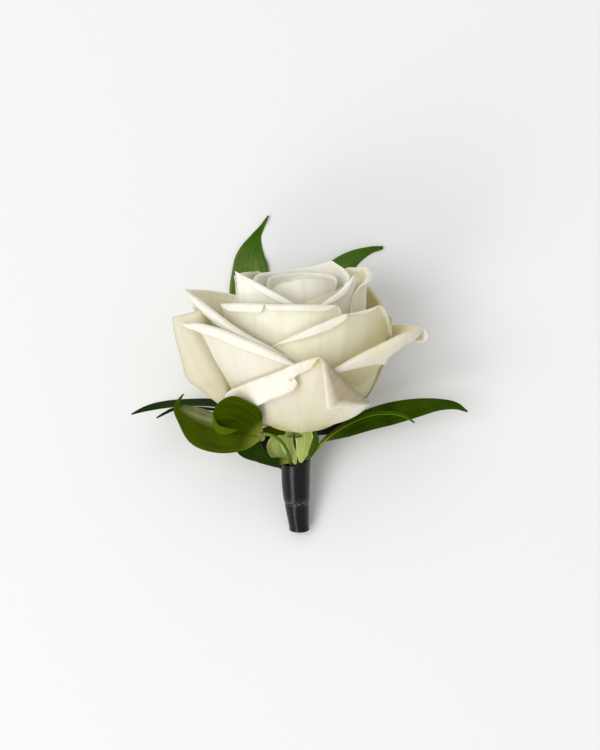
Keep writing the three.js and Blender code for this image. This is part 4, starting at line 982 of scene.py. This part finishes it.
# Papery bracts where the leaves leave the twig
BRACTS = [
    [(-11, -0.5, 7.6, 0.3, 0.3), (-11.9, 0, 8.2, 0.6, 0.5, 20, 10), (-12.9, 0.8, 8.4, 0.15, 0.15)],
    [(-10.8, -0.4, 7.4, 0.3, 0.3), (-11, -1.2, 7.8, 0.5, 0.5, -20, 10), (-11.4, -2.1, 7.8, 0.12, 0.12)],
]
BRACT_SEED = 30
BRACT_THICKNESS = 0.15

# Twigs, from inside the ribbon to where their leaves begin. A row's fourth number is a radius of its own.
TWIG_RADIUS = 0.5
TWIG_END = -17.5
STEM_BEND_X = -0.7
TWIGS = [
    ("twig_back", "back", [
        (STEM_BEND_X, TWIG_END, -2.5), (STEM_BEND_X, -14, -2.5), (-0.6, -11, -2.6), (-0.4, -7, -5.2),
        (0, -4, -9, 0.7), (0, -1.6, -12, 0.4)]),
    ("twig_left", "left", [
        (-2.5, TWIG_END, 1.75), (-2.5, -14, 1.8), (-2.5, -12, 1.9), (-2.75, -10.6, 2.8), (-3.2, -9, 4.7),
        (-3.9, -5, 6.9), (-6.4, -1.5, 7.5), (-9.6, 0, 7.2), (-12.2, -0.3, 6.8, 0.7)]),
    ("twig_right", "right", [
        (0.9, TWIG_END, 1.8), (0.9, -14, 1.8), (1, -11.2, 1.9), (1.35, -9.8, 2.1), (3.4, -7.6, 2.6),
        (6.6, -4, 3.1, 0.6)]),
    ("twig_right_second", "right", [
        (1.2, -10.5, 2, 0.4), (3, -8.6, 1.4), (5, -6.6, -0.4), (7.8, -4.2, -2.6, 0.6)]),
]


def make_sprigs():
    for name, sprig, look, seed, wave, rows in LEAVES:
        surface = curled_surface(rows) if rows is ROUND_LEAF else leaf_surface(rows, seed, wave)
        leaf(name, surface, look, f"ruscus_sprig_{sprig}", LEAF_THICKNESS)
    for number, rows in enumerate(BRACTS, 1):
        surface = leaf_surface(rows, BRACT_SEED + number, SMALL_WAVE)
        leaf(f"bract_{number}", surface, "bract", "ruscus_sprig_left", BRACT_THICKNESS)
    for name, sprig, rows in TWIGS:
        path = [(*row, TWIG_RADIUS)[:4] for row in rows]
        tube(name, path, TWIG_LOOK, f"ruscus_sprig_{sprig}", steps=8, sides=14, wobble=0.12, seed=7)


# The rose's stem, its hip and the reflexed sepals

SEPALS = [
    [(-2.2, -2.6, 0.8, 1.4, 1.4), (-5.4, -2.9, 1.6, 2.2, 2.2, 0, -8), (-7.2, -5.4, 2, 2.9, 2.9, 0, -10),
     (-6.4, -8.2, 2.2, 3.0, 2.1, 0, -6), (-4.9, -10, 2.4, 1.2, 0.4)],
    [(-1.8, -2.2, 1.8, 1.8, 1.8), (-4.1, -1.4, 3.8, 2.2, 2.2, 0, -8), (-3.8, -4.4, 4.4, 1.9, 1.8, 0, -12),
     (-2.4, -7.4, 4, 1.5, 1.3, 0, -10), (-1.3, -10.4, 3.6, 0.4, 0.4)],
    [(0.2, -2.2, 2, 2, 2), (1.2, -1.4, 4.2, 2.7, 2.7, 0, -6), (1.2, -4, 4.8, 2.4, 2.4, 0, -12),
     (0.6, -7, 4.4, 1.7, 1.7, 0, -10), (0.2, -9.8, 3.9, 0.4, 0.4)],
    [(2, -2.2, 1, 1.2, 1.2), (3.8, -1.5, 3.6, 1.6, 1.6, 0, -8), (4.1, -4, 4.4, 1.4, 1.4, 0, -8),
     (3.4, -6.4, 4.4, 0.9, 0.9, 0, -8), (2.7, -8.2, 4.2, 0.3, 0.3)],
    [(-0.4, -2.2, -2, 1.4, 1.4, 180), (0.4, -1.6, -3.6, 1.6, 1.6, 180), (1.4, -3.4, -4.2, 0.9, 0.9, 180),
     (1.9, -5.2, -4, 0.3, 0.3, 180)],
]
SHADED_SEPAL = 4
SEPAL_SEED = 40
STEM = [(0, -0.5, 0, 3.3), (0, -2, 0, 3.3), (-0.1, -4, 0, 2.7), (-0.3, -6.4, 0, 1.8), (-0.5, -9, 0, 1.6),
        (STEM_BEND_X, -13, 0, 1.6), (STEM_BEND_X, -22, 0, 1.6), (STEM_BEND_X, -30.6, 0, 1.6)]
SEPAL_WAVE = 0.15
SEPAL_THICKNESS = 0.45


def make_stem():
    tube("stem_and_hip", STEM, STEM_LOOK, "rose_stem", steps=6, sides=28, wobble=0.05, seed=3)
    for number, rows in enumerate(SEPALS, 1):
        look = "leaf" if number == SHADED_SEPAL else "sepal"
        surface = leaf_surface(rows, SEPAL_SEED + number, SEPAL_WAVE)
        leaf(f"sepal_{number}", surface, look, "rose_stem", SEPAL_THICKNESS)


# Black ribbon
#
# The tapering sleeve is wound round the stems. Its rows are: height, how far right its middle is, and radius.
# The step is the end of its upper turn. The numbers for the upper edge are heights over the last row's.

WRAP_ROWS = [(-31.7, -0.2, 3.2), (-24.5, -0.9, 3.8), (-18.4, -1.25, 4.2), (-10.6, -1.3, 4.5)]
WRAP_STEPS = 22
WRAP_SIDES = 96
WRAP_WALL = 0.5
WALL_STEP = 8
WRAP_BOTTOM = -32.4
WRAP_ROUNDING = 0.7
WRAP_ROUNDING_TURNS = [0, 25, 50, 75]
WRAP_FLOOR = 0.8
WRAP_EDGE = -22.9
WRAP_STEP = 0.16
WRAP_STEP_SPREAD = 0.12
WRAP_TOP = 0.12
WRAP_SEED = 51
CREASE = 0.05
CREASE_PACE = (0.5, 2)
FRAY_WIDTH = 0.9
SATIN_GRAIN_TURN = 30
FRONT_EDGE = -0.3
EDGE_STEP_UP = 1.3
EDGE_STEP_TURN = 30
BACK_EDGE = -0.7
BACK_FROM, BACK_TO = 110, -100
EDGE_POWER = 6


def edge_rise(azimuth):
    """The upper edge runs low at the front left and at the back, and high at the right."""
    turned = np.where(azimuth > 180, azimuth - 360, azimuth)
    front = FRONT_EDGE + EDGE_STEP_UP * np.clip(turned / EDGE_STEP_TURN, 0, 1)
    return np.where((turned < BACK_TO) | (turned > BACK_FROM), BACK_EDGE, front)


def make_wrap():
    azimuth = 360 * np.arange(WRAP_SIDES) / WRAP_SIDES
    path = smooth_rows(WRAP_ROWS, WRAP_STEPS)
    foot, top = path[0], path[-1]
    rings, heights = [], []

    def ring(height, centre, radius, rise=0.0):
        rings.append(polar(azimuth, radius, height + rise) + np.array([centre, 0, 0]))
        heights.append(height)

    def rise_at(height):
        return edge_rise(azimuth) * ((height - foot[0]) / (top[0] - foot[0])) ** EDGE_POWER

    for turn in np.radians(WRAP_ROUNDING_TURNS):
        height = WRAP_BOTTOM + WRAP_ROUNDING * (1 - math.cos(turn))
        ring(height, foot[1], foot[2] - WRAP_ROUNDING * (1 - math.sin(turn)))
    for height, centre, radius in path:
        step = WRAP_STEP / (1 + math.exp(-(height - WRAP_EDGE) / WRAP_STEP_SPREAD))
        turned = np.radians(azimuth) * CREASE_PACE[1]
        crease = CREASE * ripple(np.full(WRAP_SIDES, height * CREASE_PACE[0]), turned, WRAP_SEED)
        ring(height, centre, radius - WRAP_STEP + step + crease, rise_at(height))
    ring(top[0] + WRAP_TOP, top[1], top[2] - WRAP_WALL / 2, edge_rise(azimuth))
    for height, centre, radius in path[::-WALL_STEP]:
        ring(height, centre, radius - WRAP_WALL, rise_at(height))
    ring(WRAP_BOTTOM + WRAP_FLOOR, foot[1], foot[2] - WRAP_WALL)
    along, across = over_grid(heights, azimuth / SATIN_GRAIN_TURN)
    fray = np.exp(-(((along - WRAP_EDGE) / FRAY_WIDTH) ** 2))
    attributes = {"along": along, "across": across, "fray": fray}
    ringed("ribbon_sleeve", np.array(rings), attributes, SATIN_LOOK, "ribbon_wrap")


# The ribbon's loose tail behind the hip. Its rows are: x, the heights of its lower and upper edge, and z.
TAIL = [
    (-13, -11.6, -9, -3), (-12, -12, -5, -3), (-10.8, -12.4, -3.6, -3.2), (-8.6, -13, -3.2, -3.2),
    (-6.4, -13.4, -3, -2.8), (-5.4, -13.4, -2.8, -3.2), (-4.5, -5.6, -2.4, -4.2), (-3, -4.8, -1.6, -5.2),
    (0, -4.4, -1.2, -5.9), (4, -4.2, -1, -6.2), (8, -4, -0.4, -6.4), (12, -4.5, 0.2, -6.7),
    (15.2, -4.8, 0.4, -7),
]
TAIL_STEPS = 5
TAIL_COLUMNS = 13
TAIL_THICKNESS = 0.3
TAIL_WAVE = 0.1
TAIL_WAVE_PACE = (0.5, 3)


def make_tail():
    path = smooth_rows(TAIL, TAIL_STEPS)
    shares = np.linspace(0, 1, TAIL_COLUMNS)
    lines = []
    for x, low, high, z in path:
        wave = np.sin(TAIL_WAVE_PACE[0] * x + TAIL_WAVE_PACE[1] * shares)
        lines.append(np.stack([x + 0 * shares, low + (high - low) * shares, z + TAIL_WAVE * wave], axis=-1))
    along, across = over_grid(path[:, 0], shares * 3)
    attributes = {"along": along, "across": across}
    tail = blade("ribbon_tail_cloth", np.array(lines), TAIL_THICKNESS, attributes, TAIL_LOOK, "ribbon_tail")


# The studio: a pale floor, soft light, and the camera above the face of the flower

CAMERA_TARGET = (0.0, 16.4, 0.0)
CAMERA_RISE = math.radians(14)
CAMERA_DISTANCE = 0.7
SENSOR = 36.0
VIEW_HEIGHT = 0.225
CLIP_START = 0.01


def stand(name, data, place, back):
    """Puts a camera or a lamp at a place, with its back to a direction."""
    thing = bpy.data.objects.new(name, data)
    thing.location = place
    thing.rotation_mode = "QUATERNION"
    thing.rotation_quaternion = (-back).to_track_quat("-Z", "Y")
    bpy.context.scene.collection.objects.link(thing)
    return thing


def make_camera():
    target = Vector(laid(CAMERA_TARGET))
    back = Vector(laid_direction((0.0, math.sin(CAMERA_RISE), math.cos(CAMERA_RISE))))
    data = bpy.data.cameras.new("camera")
    data.sensor_width = SENSOR
    data.lens = SENSOR * CAMERA_DISTANCE / VIEW_HEIGHT
    data.clip_start = CLIP_START
    bpy.context.scene.camera = stand("camera", data, target + back * CAMERA_DISTANCE, back)


FLOOR_SIZE = 3.0
FLOOR_COLOUR = (0.82, 0.82, 0.82)
FLOOR_ROUGHNESS = 0.9
LIGHTS = [
    dict(name="key_light", place=(-0.95, -0.35, 1.75), size=1.1, power=17.5),
    dict(name="top_light", place=(-0.5, 1.0, 1.6), size=1.0, power=3.0),
    dict(name="foot_light", place=(-0.75, -1.07, 0.93), size=0.6, power=6.0),
]
WORLD_STRENGTH = 0.59


def make_studio():
    mesh = bpy.data.meshes.new("floor")
    half = FLOOR_SIZE / 2
    corners = [(-half, -half, 0), (half, -half, 0), (half, half, 0), (-half, half, 0)]
    mesh.from_pydata(corners, [], [(0, 1, 2, 3)])
    floor = bpy.data.objects.new("floor", mesh)
    material, tree = new_material("floor_white")
    put(tree, tree.nodes["Principled BSDF"], {"Base Color": FLOOR_COLOUR, "Roughness": FLOOR_ROUGHNESS})
    mesh.materials.append(material)
    bpy.context.scene.collection.objects.link(floor)
    for light in LIGHTS:
        data = bpy.data.lights.new(light["name"], "AREA")
        data.size = light["size"]
        data.energy = light["power"]
        stand(light["name"], data, light["place"], Vector(light["place"]))
    world = bpy.data.worlds.new("studio")
    bpy.context.scene.world = world
    world.use_nodes = True
    sky = world.node_tree.nodes["Background"]
    sky.inputs["Color"].default_value = (1.0, 1.0, 1.0, 1.0)
    sky.inputs["Strength"].default_value = WORLD_STRENGTH
    bpy.context.scene.view_settings.view_transform = "Standard"


make_camera()
make_bloom()
make_closed_petals()
make_sprigs()
make_stem()
make_wrap()
make_tail()
make_studio()
